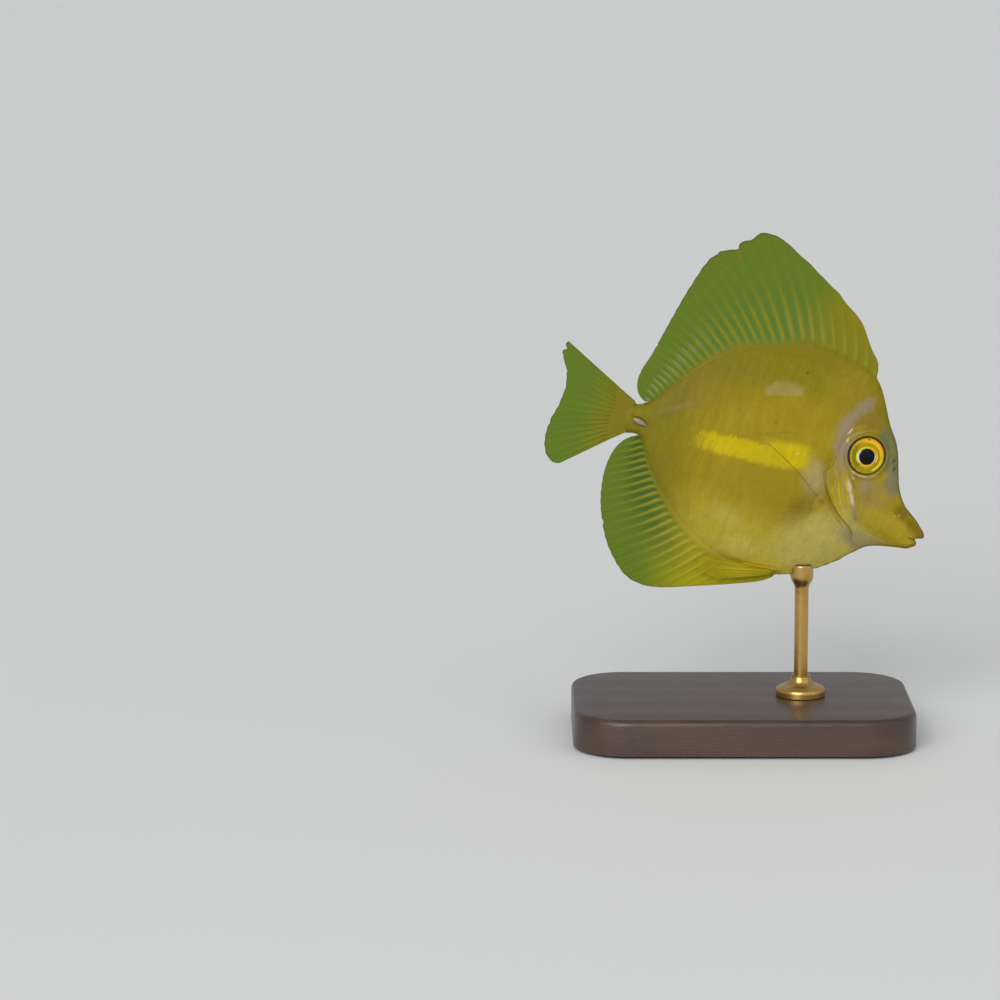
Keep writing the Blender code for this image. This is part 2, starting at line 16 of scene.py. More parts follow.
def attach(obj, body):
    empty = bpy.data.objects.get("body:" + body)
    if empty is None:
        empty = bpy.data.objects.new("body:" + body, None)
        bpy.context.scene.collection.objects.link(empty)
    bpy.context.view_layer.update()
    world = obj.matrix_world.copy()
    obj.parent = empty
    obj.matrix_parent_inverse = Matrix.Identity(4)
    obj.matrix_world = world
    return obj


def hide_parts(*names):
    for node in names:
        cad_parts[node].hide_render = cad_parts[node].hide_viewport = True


bl_info = {
    "name": "Yellow Tang Model",
    "version": (1, 0, 0),
    "blender": (4, 5, 0),
    "location": "3D View > Sidebar > Tang",
    "description": "Builds a young yellow tang on a display stand",
    "category": "Object",
}

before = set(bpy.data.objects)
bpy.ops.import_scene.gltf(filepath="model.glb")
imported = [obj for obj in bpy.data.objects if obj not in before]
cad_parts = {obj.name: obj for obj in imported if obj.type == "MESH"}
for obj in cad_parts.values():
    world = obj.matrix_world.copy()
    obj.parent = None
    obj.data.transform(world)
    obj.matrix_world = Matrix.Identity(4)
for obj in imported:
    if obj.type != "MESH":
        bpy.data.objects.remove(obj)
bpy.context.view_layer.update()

MM = 0.001
SIDES = ((1, "left"), (-1, "right"))  # which way a flank looks along Y, and its name

# Side outline of the body from tail to snout, as (length, height)
BACK_LINE = [
    (-15.9, -0.25), (-14.4, -0.8), (-13.4, -0.9), (-12.2, 0.0), (-11.3, 1.3), (-8.0, 6.1),
    (-4.1, 9.7), (0.0, 11.1), (5.0, 11.8), (10.5, 12.1), (13.0, 12.2), (14.5, 11.7), (16.0, 10.0),
    (18.0, 6.7), (20.0, 3.9), (21.8, -0.7), (23.2, -2.75), (24.2, -3.5), (25.4, -4.3), (26.2, -5.0),
]
BELLY_LINE = [
    (-15.9, -5.7), (-14.4, -5.05), (-13.0, -4.7), (-12.0, -5.0), (-10.0, -8.0), (-8.0, -10.3),
    (-3.9, -13.7), (0.1, -15.8), (3.1, -16.8), (6.6, -17.2), (9.6, -16.75), (12.1, -15.9),
    (14.1, -14.8), (16.9, -12.7), (18.7, -10.9), (20.1, -9.6), (21.6, -8.95), (24.2, -8.35),
    (25.2, -8.2),
]
SNOUT_LINE = [
    (25.2, -8.2), (25.8, -7.85), (26.3, -7.42), (26.3, -7.05), (25.98, -6.68), (26.35, -6.45),
    (26.88, -6.25), (26.98, -5.9), (26.72, -5.45), (26.2, -5.0),
]
HALF_WIDTHS = [
    (-15.9, 0.14), (-14.9, 0.55), (-13.6, 0.95), (-11.0, 1.25), (-8.0, 1.65), (-4.0, 2.15), (0.0, 2.6),
    (4.0, 2.9), (8.0, 3.05), (12.0, 3.05), (16.0, 2.85), (20.0, 2.2), (23.0, 1.55), (25.0, 1.15),
    (26.5, 0.9),
]
KEEL_HALF_WIDTH = 0.45
KEEL_SHARE = 0.55  # of the half width beside it, where the body is thinner than that
KEEL_ROUNDING = 0.5  # how high the keel's rounding is, as a share of its half width
KEEL_TURNS = 4
KEEL_ROOM = 0.12  # share of the flank's height that gives way to the rounding
WIDEST_LEVEL = 0.48
FLANK_FULLNESS = 2.2
FLANK_ROUNDNESS = 0.8
STALK_END = -15.9
SEAM_MERGE = 0.0005  # points of the two flanks that lie this close become one
OUTSIDE = 20.0  # a distance from the middle plane that is well outside the fish

# Columns and rows of the skin's grid on one flank
TRUNK_COLUMNS = 130
HEAD_COLUMNS = 130
FLANK_ROWS = 150

# Gill cover and cheek
GILL_LINE = [
    (18.9, -10.75), (18.2, -8.9), (17.3, -7.5), (15.6, -6.4), (14.0, -5.1), (12.8, -3.6),
    (12.15, -2.2), (12.0, -0.4), (12.4, 2.0), (12.6, 6.0), (13.4, 12.2),
]
CHEEK_LINE = [(15.0, 0.2), (15.3, -1.5), (16.0, -3.0), (17.1, -4.7), (17.8, -5.8)]
GILL_FLAP_RISE = 0.3
GILL_FLAP_REACH = 2.2
GILL_FLAP_TOP = 2.0
GILL_STEPS = (0.34, 0.2, 0.08)  # columns of the groove behind the flap, by distance from its edge
GILL_GROOVE_DEPTH = 0.14
GILL_FOOT = (-10.4, -8.8)  # heights between which the flap rises out of the throat
CHEEK_RISE = 0.18
CHEEK_SPREAD = 0.45

# Eye, nostrils and mouth
EYE_CENTRE = (16.2, 2.1)
ORBIT_RADIUS = 2.72
RIM_RISE = 0.24
RIM_SPREAD = 0.2
LID_CREASE = (0.75, 0.1, 0.35)  # how far outside the rim, depth and spread
SOCKET_RADIUS = 2.5
SOCKET_WALL = 0.32
SOCKET_DEPTH = 1.1
BALL_RADIUS = 2.44
DOME_RADIUS = 2.4
EYE_STEPS = 96
DOME_TURN = 1.52  # how far round the dome goes, in radians
NOSTRILS = [(20.0, 2.35), (20.35, 1.35)]
NOSTRIL_RADIUS = 0.2
NOSTRIL_DEPTH = 0.3
NOSTRIL_RIM = (1.9, 0.1, 0.12)  # radius beside the hole's own, rise and spread
NOSTRIL_STRETCH = (1.0, 0.75)  # the holes are a little taller than long
MOUTH_LINE = [(26.0, -6.67), (25.5, -6.66), (24.9, -6.55)]
MOUTH_DEPTH = 0.2
MOUTH_SPREAD = 0.08
MOUTH_END = (0.3, 1.1)  # distances behind the lips between which the mouth's gap fades
LIP_RISE = 0.05
LIP_SPREAD = 0.35
LIP_BACK = 0.55  # how far behind the outline the lips are fullest
LIP_CREASE = (1.35, 0.07, 0.3)  # how far behind the outline, depth and spread
SNOUT_ROUNDING = 1.0
STALK_ROUNDING = 0.25

# Blade in its groove on the tail stalk
BLADE_CENTRE = (-12.7, -2.9)
BLADE_HALF_LENGTH = 1.05
BLADE_HALF_HEIGHT = 0.36
BLADE_HALF_DEPTH = 0.34
BLADE_STANDS_OUT = 0.12
BLADE_POINT = 0.55  # share of its thickness that the blade loses towards its point
BLADE_HOOK = 0.1  # how far its point bends down
BLADE_TILT_DEG = 10.0
GROOVE_ROOM = (0.3, 0.25)  # how much longer and higher the groove is than half the blade
GROOVE_DEPTH = 0.2
GROOVE_RIM_RISE = 0.03

# Trunk
BREAST_ROOT_RISE = 0.16
BREAST_ROOT_SPREAD = 0.5
MUSCLE_FOLD_RISE = 0.012
MUSCLE_FOLDS_FROM = (-13.0, -9.0)  # lengths between which the folds begin, in front of the stalk

# Fins: a root is a stretch along the body, an edge is its outline, and a fan pairs lengths of the
# root with the spots of the edge that their rays reach. Nicks are (spot, depth, half width).
DORSAL_ROOT = (14.35, -12.2)
DORSAL_EDGE = [
    (14.45, 11.7), (14.3, 13.0), (13.85, 13.95), (13.0, 14.75), (11.95, 16.0), (10.9, 17.4),
    (9.9, 18.35), (7.6, 19.75), (6.5, 20.55), (4.25, 21.7), (1.9, 22.95), (0.0, 23.8),
    (-1.9, 24.7), (-2.9, 25.05), (-4.3, 25.2), (-5.1, 25.15), (-5.75, 24.75), (-6.5, 23.8),
    (-7.3, 23.25), (-7.8, 22.75), (-7.9, 22.0), (-8.4, 21.75), (-9.1, 21.5), (-9.8, 21.05),
    (-10.4, 20.3), (-10.95, 19.4), (-11.5, 17.7), (-12.35, 14.2), (-13.0, 10.9), (-13.65, 7.3),
    (-14.0, 5.5), (-14.4, 4.1), (-14.6, 3.0), (-14.6, 1.9), (-14.2, 0.7), (-13.5, 0.0), (-12.9, -0.3),
]
DORSAL_FAN = [
    (14.35, (14.45, 11.7)), (13.9, (13.75, 14.1)), (12.2, (10.2, 18.1)), (9.9, (5.8, 20.9)),
    (7.65, (1.5, 23.2)), (5.4, (-3.0, 25.1)), (3.1, (-6.6, 23.7)), (0.9, (-9.3, 21.4)),
    (-1.3, (-11.0, 19.2)), (-3.3, (-11.9, 16.0)), (-6.65, (-13.2, 9.9)), (-9.4, (-14.15, 5.0)),
    (-10.9, (-14.6, 2.9)), (-11.7, (-14.3, 0.85)), (-12.2, (-12.9, -0.3)),
]
DORSAL_CROWD = 0.3  # how much wider than even the front rays stand, and closer the rear ones
DORSAL_NICKS = [((-7.9, 22.2), 0.3, 0.12), ((-13.7, 7.0), 0.14, 0.15), ((6.9, 20.3), 0.08, 0.4),
                ((3.2, 22.2), 0.08, 0.5), ((-10.1, 20.7), 0.12, 0.25)]
ANAL_ROOT = (10.3, -12.2)
ANAL_EDGE = [
    (10.0, -17.05), (8.6, -18.1), (5.4, -19.5), (2.1, -20.8), (-2.9, -22.7), (-5.4, -23.2),
    (-7.9, -22.8), (-10.1, -21.2), (-12.2, -18.7), (-14.0, -15.1), (-14.8, -12.1), (-15.0, -9.7),
    (-14.7, -7.6), (-14.0, -6.1), (-13.1, -5.2),
]
ANAL_FAN = [
    (10.3, (10.0, -17.05)), (9.7, (8.6, -18.1)), (7.9, (4.9, -19.7)), (5.5, (1.2, -21.1)),
    (3.1, (-2.5, -22.6)), (0.75, (-6.4, -23.1)), (-1.5, (-9.2, -22.0)), (-3.6, (-11.2, -20.0)),
    (-5.6, (-12.8, -17.7)), (-7.4, (-14.0, -15.1)), (-9.1, (-14.75, -12.4)),
    (-10.6, (-15.0, -9.3)), (-11.4, (-14.6, -7.4)), (-12.2, (-13.1, -5.2)),
]
ANAL_CROWD = 0.3
ANAL_NICKS = [((-3.9, -22.9), 0.12, 0.5), ((-13.1, -17.0), 0.15, 0.4)]
TAIL_ROOT = [(-14.0, -0.75), (-14.2, -2.8), (-14.0, -4.8)]
TAIL_EDGE = [
    (-24.6, 4.05), (-24.9, 3.6), (-24.5, 3.05), (-25.0, 2.7), (-24.6, 1.8), (-23.9, 0.75),
    (-23.5, -0.2), (-23.15, -1.7), (-23.2, -3.0), (-23.3, -4.3), (-23.65, -5.9), (-23.75, -7.5),
    (-23.65, -8.7), (-23.4, -9.7), (-22.85, -10.7), (-22.1, -11.3), (-21.3, -11.5), (-20.7, -11.25),
]
TAIL_NICKS = [((-24.75, 2.2), 0.2, 0.15), ((-23.7, 0.3), 0.12, 0.25), ((-23.75, -6.8), 0.1, 0.35)]
PECTORAL_ROOT = [(12.3, -5.1), (12.1, -5.75), (11.8, -6.4)]
PECTORAL_EDGE = [(2.6, 0.45), (1.5, -2.7), (2.2, -6.6), (4.9, -9.9), (8.4, -11.4)]
PELVIC_ROOT = [(10.9, -15.55), (10.6, -15.9), (10.35, -16.2)]
PELVIC_EDGE = [(1.2, -16.4), (0.2, -17.5), (0.6, -18.8), (3.2, -19.2)]
RAY_HALF = 0.2  # half width of a ray, as a share of the space between two rays
RAY_TAPER = 0.55  # how wide a ray still is at the edge, beside its root
RAY_JOINTS = 46.0  # how many joints a ray has
BRANCH_SPREAD = 0.2  # how far a branch ends from its ray's line, as a share of the same space
BRANCH_FROM = 0.5  # share of the way out where a ray branches
SCALLOP = 0.006  # how much shorter the web between two rays is, as a share of their length
RAY_THINS = 0.85  # share of a ray's height that it loses on its way out
EDGE_THINS = 0.45  # share of its thickness that a fin loses at its very edge
SWAY_TURN = 0.33  # how quickly the slow wave of a fin turns from ray to ray, in radians
SWAY_START = 1.1
SWAY_QUICK = 0.35  # strength of the quick wave beside the slow one
SWAY_QUICK_TURN = 1.3
MEDIAN_SUNK = 0.35  # how far the roots of back and anal fin lie inside the body's outline
PAIRED_SUNK = 0.25  # how far the roots of breast and belly fins lie under the skin
PAIRED_CLEAR = 0.34  # how far out of the skin their webs stand

# Stand
BASE_SIZE = (44.0, 30.0, 5.0)
BASE_CORNER = 7.0
BASE_BEVEL = 0.8
FELT_HEIGHT = 0.35
FELT_INSET = 0.9
FELT_LAP = 0.1  # how far the felt reaches into the base
FELT_BEVEL = 0.05
ROD_SPOT = (13.5, -15.3)  # on the belly, in the fish's own frame
ROD_RADIUS = 0.9
CRADLE_RADIUS = 1.5
CRADLE_RISE = 1.1
CRADLE_DEPTH = 1.6
PAD_RADIUS = 1.32
PAD_GAP = 0.34  # between the rod's cradle and the belly, filled by the pad
PAD_TOUCH = 0.01  # how close the pad's upper face comes to the belly
PAD_RISE = 0.14  # how far the pad shows above the cradle
PAD_SUNK = 0.03  # how far the pad reaches into the cradle


def srgb(red, green, blue):
    """A colour as Blender's linear values, from 0 to 255 values as a colour picker shows them."""
    return tuple(
        (c / 12.92 if c <= 0.04045 else ((c + 0.055) / 1.055) ** 2.4)
        for c in (red / 255, green / 255, blue / 255)
    )


def colour(name, description, default):
    return FloatVectorProperty(
        name=name, description=description, subtype="COLOR", size=3, min=0.0, max=1.0,
        default=srgb(*default))


def length(name, description, default_mm):
    return FloatProperty(
        name=name, description=description, default=default_mm * MM, unit="LENGTH", precision=5)


class TangPose(bpy.types.PropertyGroup):
    """How the fish hangs on its stand."""

    nose_down: FloatProperty(
        name="Nose down", description="How far the snout dips below level",
        default=math.radians(18.0), subtype="ANGLE")
    shift: length("Shift", "Where the fish's origin is along the stand", -0.45)
    height: length("Height", "How high the fish's origin is above the floor", 40.0)


class TangSkin(bpy.types.PropertyGroup):
    """Sizes of the skin and scales, and the colours of the body."""

    coat_depth: length("Coat depth", "How far the skin lies inside the solid body", 0.05)
    scale_pitch: length("Scale pitch", "Distance between two rows of scales on the flank", 0.33)
    scale_rise: length("Scale rise", "How far the free edge of a scale stands up", 0.02)
    back: colour("Back", "Upper flank and back", (124, 114, 17))
    nape: colour("Nape", "Back of the head and front of the back", (136, 120, 26))
    flank: colour("Flank", "Middle of the flank", (147, 128, 24))
    sunlit: colour("Sunlit flank", "Golden upper flank behind the head", (149, 125, 18))
    rear: colour("Rear", "Flank towards the tail", (121, 112, 24))
    belly: colour("Belly", "Belly and lower flank", (168, 154, 50))
    glow: colour("Belly glow", "Pale patches of the belly", (178, 165, 86))
    chest: colour("Chest", "Chest below the gill cover", (172, 160, 80))
    band: colour("Band", "Bright stripe along the flank", (190, 167, 12))
    lilac: colour("Lilac", "Greyish lilac round the eye", (141, 124, 108))
    # Pale also gives painted highlights behind the eye
    pale_and_highlight: colour("Pale", "Pale patches and streaks", (164, 149, 106))
    # Streak also gives painted highlights behind the eye and on the snout
    streak_and_highlight: colour("Streak", "Whitish streaks on the cheek", (206, 184, 152))
    teal: colour("Teal", "Greenish grey in front of the eye", (108, 110, 74))
    cheek: colour("Cheek", "Side of the snout under the eye", (146, 125, 58))
    snout: colour("Snout", "Lower side of the snout", (160, 141, 36))
    ridge: colour("Ridge", "Upper edge of the snout", (116, 96, 18))
    lip: colour("Lip", "Lips and end of the snout", (124, 88, 34))
    throat: colour("Throat", "Throat under the jaw", (142, 134, 94))
    gold: colour("Gold", "Golden lines on the gill cover", (184, 157, 44))
    ochre: colour("Ochre", "Warm patch above the eye", (132, 108, 46))
    rust: colour("Rust", "Edge of the gill cover and root of the breast fin", (146, 98, 44))
    # Used for real dark marks, and for painted shade in creases and holes, round the eyeball, under the
    # breast fin and on the upper rear flank
    marks_and_shade: colour("Shade", "Dark marks and creases", (84, 72, 34))
    horn: colour("Horn", "Pale horn of the blades", (148, 138, 124))
    horn_dark: colour("Dark horn", "Darker grain of the horn", (126, 114, 88))


class TangEye(bpy.types.PropertyGroup):
    """Sizes and colours of the eyes."""

    iris_radius: length("Iris radius", "Outer edge of the golden iris", 2.31)
    pupil_radius: length("Pupil radius", "Edge of the pupil", 1.05)
    cornea_rise: length("Cornea rise", "How far the clear dome stands above the iris", 0.42)
    limbus: colour("Limbus", "Dark ring round the iris", (56, 54, 46))
    iris: colour("Iris", "Main colour of the iris", (186, 162, 18))
    olive: colour("Olive", "Dark part of the iris", (112, 108, 10))
    brown: colour("Brown", "Brown arcs of the iris", (158, 96, 12))
    amber: colour("Amber", "Orange arcs of the iris", (250, 150, 8))
    ember: colour("Ember", "Red lower edge of the pupil", (216, 62, 12))
    # Bright ring and pearl also give the painted glints left of the pupil
    bright: colour("Bright ring", "Bright yellow arcs of the iris", (240, 214, 36))
    pearl_and_glint: colour("Pearl", "Pale edge of the pupil", (226, 219, 208))


class TangFins(bpy.types.PropertyGroup):
    """Sizes and colours of the fins."""

    web_thickness: length("Web thickness", "Thickness of the web between the rays", 0.14)
    ray_thickness: length("Ray thickness", "Thickness of a soft ray at its root", 0.4)
    spine_thickness: length("Spine thickness", "Thickness of a spine at its root", 0.6)
    dorsal_spines: IntProperty(name="Dorsal spines", description="Stiff front rays", default=5)
    dorsal_rays: IntProperty(name="Dorsal rays", description="All rays of the back fin", default=30)
    anal_spines: IntProperty(name="Anal spines", description="Stiff front rays", default=3)
    anal_rays: IntProperty(name="Anal rays", description="All rays of the anal fin", default=26)
    tail_rays: IntProperty(name="Tail rays", description="Rays of the tail fin", default=16)
    pectoral_rays: IntProperty(name="Pectoral rays", description="Rays of a breast fin", default=15)
    pelvic_rays: IntProperty(name="Pelvic rays", description="Rays of a belly fin", default=6)
    web: colour("Web", "Green web of the fins", (99, 122, 34))
    web_front: colour("Front web", "Olive web at the front of the back fin", (136, 128, 22))
    gilt: colour("Gilt", "Yellow web at the front of the anal fin", (166, 156, 14))
    gap: colour("Gap", "Green web between the inner parts of the rays", (92, 124, 46))
    dusk: colour("Dark gap", "The same web on the anal fin", (66, 98, 36))
    glint: colour("Glint", "Pale ends of the hindmost gaps", (166, 168, 152))
    ray: colour("Ray", "Rays", (144, 136, 36))
    ray_pale: colour("Pale ray", "Pale rays of the front of the back fin", (164, 160, 76))
    margin: colour("Margin", "Thin dark edge of the fins", (96, 84, 26))
    tear: colour("Tear", "Healed tears in the edge", (150, 104, 34))
    breast: colour("Breast web", "Nearly clear web of the breast fins", (160, 146, 52))
    belly: colour("Belly web", "Web of the belly fins", (186, 158, 16))


class TangStage(bpy.types.PropertyGroup):
    """Stand, floor, light and camera."""

    wood: colour("Wood", "Stained wood of the base", (74, 50, 34))
    wood_grain: colour("Grain", "Dark grain of the wood", (36, 23, 16))
    brass: colour("Brass", "Brass of the rod", (196, 160, 92))
    base_felt: colour("Base felt", "Felt under the base", (38, 42, 40))
    pad_felt: colour("Pad felt", "Felt pad in the rod's cradle", (52, 48, 44))
    floor: colour("Floor", "Plain floor", (232, 232, 230))
    key_strength: FloatProperty(
        name="Key light", description="Strength of the main light", default=1.7)
    fill_strength: FloatProperty(
        name="Fill light", description="Strength of the light from the other side", default=0.55)
    sky_strength: FloatProperty(
        name="Sky", description="Strength of the even light all round", default=0.46)
    aim_x: length("Aim along", "Point that the camera looks at, along the stand", -31.4)
    aim_z: length("Aim height", "Point that the camera looks at, above the floor", 30.8)
    distance: length("Distance", "How far the camera is from that point", 550.0)
    view_width: length("View width", "Width of the view at that distance", 129.0)
    elevation: FloatProperty(
        name="Elevation", description="How far the camera is above level",
        default=math.radians(10.0), subtype="ANGLE")


def settings(context, group):
    return getattr(context.scene, group)


# Lines and surfaces of the body


def smooth_line(points, steps=12):
    """A Catmull-Rom line through the points, as an array of (length, height)."""
    knots = np.array([points[0], *points, points[-1]], dtype=float)
    line = []
    for before, start, end, after in zip(knots, knots[1:], knots[2:], knots[3:]):
        for t in np.arange(steps) / steps:
            line.append(
                0.5 * (2 * start + (end - before) * t
                       + (2 * before - 5 * start + 4 * end - after) * t**2
                       + (3 * start - before - 3 * end + after) * t**3)
            )
    line.append(knots[-1])
    return np.array(line)


def runs(line):
    """Distance along a line up to each of its points."""
    steps = np.linalg.norm(np.diff(line, axis=0), axis=1)
    return np.concatenate([[0.0], np.cumsum(steps)])


def spread(line, shares):
    """Points at the given shares of a line's length."""
    run = runs(line)
    at = np.asarray(shares) * run[-1]
    return np.stack([np.interp(at, run, line[:, axis]) for axis in range(line.shape[1])], axis=-1)


def stretch(line, start, end, steps=120):
    """The stretch of a body outline between two lengths."""
    lengths = np.linspace(start, end, steps)
    return np.column_stack([lengths, np.interp(lengths, line[:, 0], line[:, 1])])


def beside(line, distance):
    """A line moved to its left by a distance."""
    run = np.gradient(line, axis=0)
    run /= np.linalg.norm(run, axis=1)[:, None]
    return line + distance * np.column_stack([-run[:, 1], run[:, 0]])


def away(spots, line):
    """Distance of each side-view point from a line."""
    flat = spots.reshape(-1, 2)
    starts = line[:-1]
    steps = np.diff(line, axis=0)
    nearest = np.full(len(flat), np.inf)
    for start, step in zip(starts, steps):
        share = np.clip((flat - start) @ step / max(step @ step, 1e-12), 0.0, 1.0)
        gap = np.linalg.norm(flat - start - share[:, None] * step, axis=1)
        nearest = np.minimum(nearest, gap)
    return nearest.reshape(spots.shape[:-1])


def ease(value, start, end):
    """0 before start, 1 after end, and a smooth rise between them."""
    t = ramp(value, start, end - start)
    return t * t * (3.0 - 2.0 * t)


def ramp(value, start, span):
    """0 before start, and an even rise to 1 over the span."""
    return np.clip((value - start) / span, 0.0, 1.0)


def bump_at(distance, spread_mm):
    return np.exp(-((distance / spread_mm) ** 2))


BACK = smooth_line(BACK_LINE)
BELLY = smooth_line(BELLY_LINE)
SNOUT = smooth_line(SNOUT_LINE)
WIDTHS = smooth_line(HALF_WIDTHS)
GILL = smooth_line(GILL_LINE)
CHEEK = smooth_line(CHEEK_LINE)


def blend_borders(rear, front, low, high):
    """A grid of side-view points, [column][row], blended from its four borders."""
    up = np.linspace(0.0, 1.0, len(rear))[None, :, None]
    along = np.linspace(0.0, 1.0, len(low))[:, None, None]
    sides = (1 - along) * rear[None] + along * front[None]
    ends = (1 - up) * low[:, None] + up * high[:, None]
    corners = (1 - along) * ((1 - up) * rear[0] + up * rear[-1])
    corners = corners + along * ((1 - up) * front[0] + up * front[-1])
    return sides + ends - corners


def flank_widths(spots):
    """Half of the body's thickness over a grid of side-view points."""
    levels = np.linspace(0.0, 1.0, spots.shape[1])[None, :]
    widest = np.interp(spots[..., 0], WIDTHS[:, 0], WIDTHS[:, 1])
    keel = np.minimum(KEEL_HALF_WIDTH, KEEL_SHARE * widest)
    room = np.where(levels < WIDEST_LEVEL, WIDEST_LEVEL, 1.0 - WIDEST_LEVEL)
    reach = np.minimum(np.abs(levels - WIDEST_LEVEL) / room, 1.0)
    return keel + (widest - keel) * (1.0 - reach**FLANK_FULLNESS) ** FLANK_ROUNDNESS


def side_grid():
    """Side-view points of one flank, [column][row], and the column where the head begins."""
    rows = np.linspace(0.0, 1.0, FLANK_ROWS)
    gill = spread(GILL, rows)
    groove = spread(beside(GILL, GILL_STEPS[0]), rows)
    along = np.linspace(0.0, 1.0, TRUNK_COLUMNS)
    low = spread(stretch(BELLY, STALK_END, groove[0][0]), along)
    high = spread(stretch(BACK, STALK_END, groove[-1][0]), along)
    groove[0], groove[-1] = low[-1], high[-1]
    rear = np.linspace(low[0], high[0], FLANK_ROWS)
    trunk = blend_borders(rear, groove, low, high)
    along = np.linspace(0.0, 1.0, HEAD_COLUMNS)
    low = spread(stretch(BELLY, gill[0][0], BELLY[-1][0]), along)
    high = spread(stretch(BACK, gill[-1][0], BACK[-1][0]), along)
    gill[0], gill[-1] = low[0], high[0]
    head = blend_borders(gill, spread(SNOUT, rows), low, high)
    steps = [groove + (gill - groove) * (1.0 - step / GILL_STEPS[0]) for step in GILL_STEPS[1:]]
    return np.concatenate([trunk, np.stack(steps), head]), TRUNK_COLUMNS + len(steps)


def flap_share(spots):
    """How fully the gill cover's edge stands free at each point: on the cheek, not at its ends."""
    upper = np.clip((GILL_FLAP_TOP - spots[..., 1]) / GILL_FLAP_REACH, 0.0, 1.0)
    return upper * ease(spots[..., 1], *GILL_FOOT)


def head_relief(spots):
    """How far gill flap, cheek, eye rim, socket, nostrils and lips stand out over the head."""
    to_gill = away(spots, GILL)
    relief = GILL_FLAP_RISE * np.maximum(1.0 - to_gill / GILL_FLAP_REACH, 0.0) * flap_share(spots)
    relief += CHEEK_RISE * bump_at(away(spots, CHEEK), CHEEK_SPREAD)
    to_eye = np.linalg.norm(spots - EYE_CENTRE, axis=-1)
    relief += RIM_RISE * bump_at(to_eye - ORBIT_RADIUS, RIM_SPREAD)
    gap, depth, wide = LID_CREASE
    relief -= depth * bump_at(to_eye - ORBIT_RADIUS - gap, wide)
    relief -= SOCKET_DEPTH * (1.0 - ease(to_eye, SOCKET_RADIUS - SOCKET_WALL, SOCKET_RADIUS))
    for spot in NOSTRILS:
        off = np.linalg.norm((spots - spot) * NOSTRIL_STRETCH, axis=-1)
        grown, rise, wide = NOSTRIL_RIM
        relief += rise * bump_at(off - grown * NOSTRIL_RADIUS, wide)
        relief -= NOSTRIL_DEPTH * (1.0 - ease(off, 0.4 * NOSTRIL_RADIUS, 1.4 * NOSTRIL_RADIUS))
    to_snout = away(spots, SNOUT)
    relief += LIP_RISE * bump_at(to_snout - LIP_BACK, LIP_SPREAD)
    gap, depth, wide = LIP_CREASE
    relief -= depth * bump_at(to_snout - gap, wide)
    mouth = np.array(MOUTH_LINE)
    fade = 1.0 - ease(mouth[0, 0] - spots[..., 0], *MOUTH_END)
    relief -= MOUTH_DEPTH * bump_at(away(spots, mouth), MOUTH_SPREAD) * fade
    return relief


def trunk_relief(spots):
    """The blade's groove, the root of the breast fin and faint folds of muscle over the trunk."""
    tilt = math.radians(BLADE_TILT_DEG)
    off = spots - BLADE_CENTRE
    along = off[..., 0] * math.cos(tilt) - off[..., 1] * math.sin(tilt)
    across = off[..., 0] * math.sin(tilt) + off[..., 1] * math.cos(tilt)
    reach = np.hypot(
        along / (BLADE_HALF_LENGTH + GROOVE_ROOM[0]), across / (BLADE_HALF_HEIGHT + GROOVE_ROOM[1]))
    relief = -GROOVE_DEPTH * (1.0 - ease(reach, 0.5, 1.0))
    relief += GROOVE_RIM_RISE * bump_at(reach - 1.15, 0.2)
    root = smooth_line(PECTORAL_ROOT)
    relief += BREAST_ROOT_RISE * bump_at(away(spots, root), BREAST_ROOT_SPREAD)
    folds = np.sin(spots[..., 0] * 2.3 + 1.6 * np.abs(spots[..., 1] + 1.0) ** 0.8)
    return relief + MUSCLE_FOLD_RISE * folds * ease(spots[..., 0], *MUSCLE_FOLDS_FROM)


def flank_surface(coat_depth, plain=False):
    """Points of one flank, [column][row], with all borders in the middle plane.

    A plain surface has no relief, and is what eyes and fins are seated on.
    """
    spots, head_start = side_grid()
    width = flank_widths(spots)
    if not plain:
        groove = slice(TRUNK_COLUMNS - 1, head_start)
        width[head_start:] += head_relief(spots[head_start:])
        width[:head_start] += trunk_relief(spots[:head_start])
        width[groove] -= GILL_GROOVE_DEPTH * flap_share(spots[groove])
        width -= coat_depth
    snout = ramp(away(spots, SNOUT), 0.0, SNOUT_ROUNDING)
    stalk = ramp(spots[..., 0], STALK_END, STALK_ROUNDING)
    width *= np.sqrt(1.0 - (1.0 - snout) ** 2) * np.sqrt(1.0 - (1.0 - stalk) ** 2)
    spots = spots + keel_room(spots, width)
    flank = np.stack([spots[..., 0], width, spots[..., 1]], axis=-1)
    return np.concatenate([
        keel_rows(spots[:, 0], width[:, 0], -1.0)[:, ::-1], flank,
        keel_rows(spots[:, -1], width[:, -1], 1.0)], axis=1)


def keel_room(spots, width):
    """How far the rows by back and belly move inwards, so that the rounding ends at the outline."""
    levels = np.linspace(0.0, 1.0, spots.shape[1])
    move = np.zeros(spots.shape)
    for row, side, level in ((0, 1.0, levels), (-1, -1.0, 1.0 - levels)):
        inwards = beside(spots[:, row], side) - spots[:, row]
        rise = KEEL_ROUNDING * width[:, row]
        near = np.clip(1.0 - level / KEEL_ROOM, 0.0, 1.0)
        move += inwards[:, None] * rise[:, None, None] * near[None, :, None]
    return move


def keel_rows(line, width, side):
    """Rows that round the keel off, from the flank's edge to the middle plane."""
    outwards = beside(line, side) - line
    rows = []
    for turn in np.linspace(0.0, math.pi / 2, KEEL_TURNS + 1)[1:]:
        rise = KEEL_ROUNDING * np.sin(turn) * width
        place = line + outwards * rise[:, None]
        rows.append(np.stack([place[:, 0], width * max(np.cos(turn), 0.0), place[:, 1]], axis=-1))
    rows[-1][:, 1] = 0.0
    return np.stack(rows, axis=1)


def grid_quads(columns, rows, first=0):
    """The faces of a grid of points that are numbered column by column, from a first number."""
    corners = ((0, 0), (1, 0), (1, 1), (0, 1))
    return [
        tuple(first + (i + a) * rows + j + b for a, b in corners)
        for i in range(columns - 1) for j in range(rows - 1)
    ]


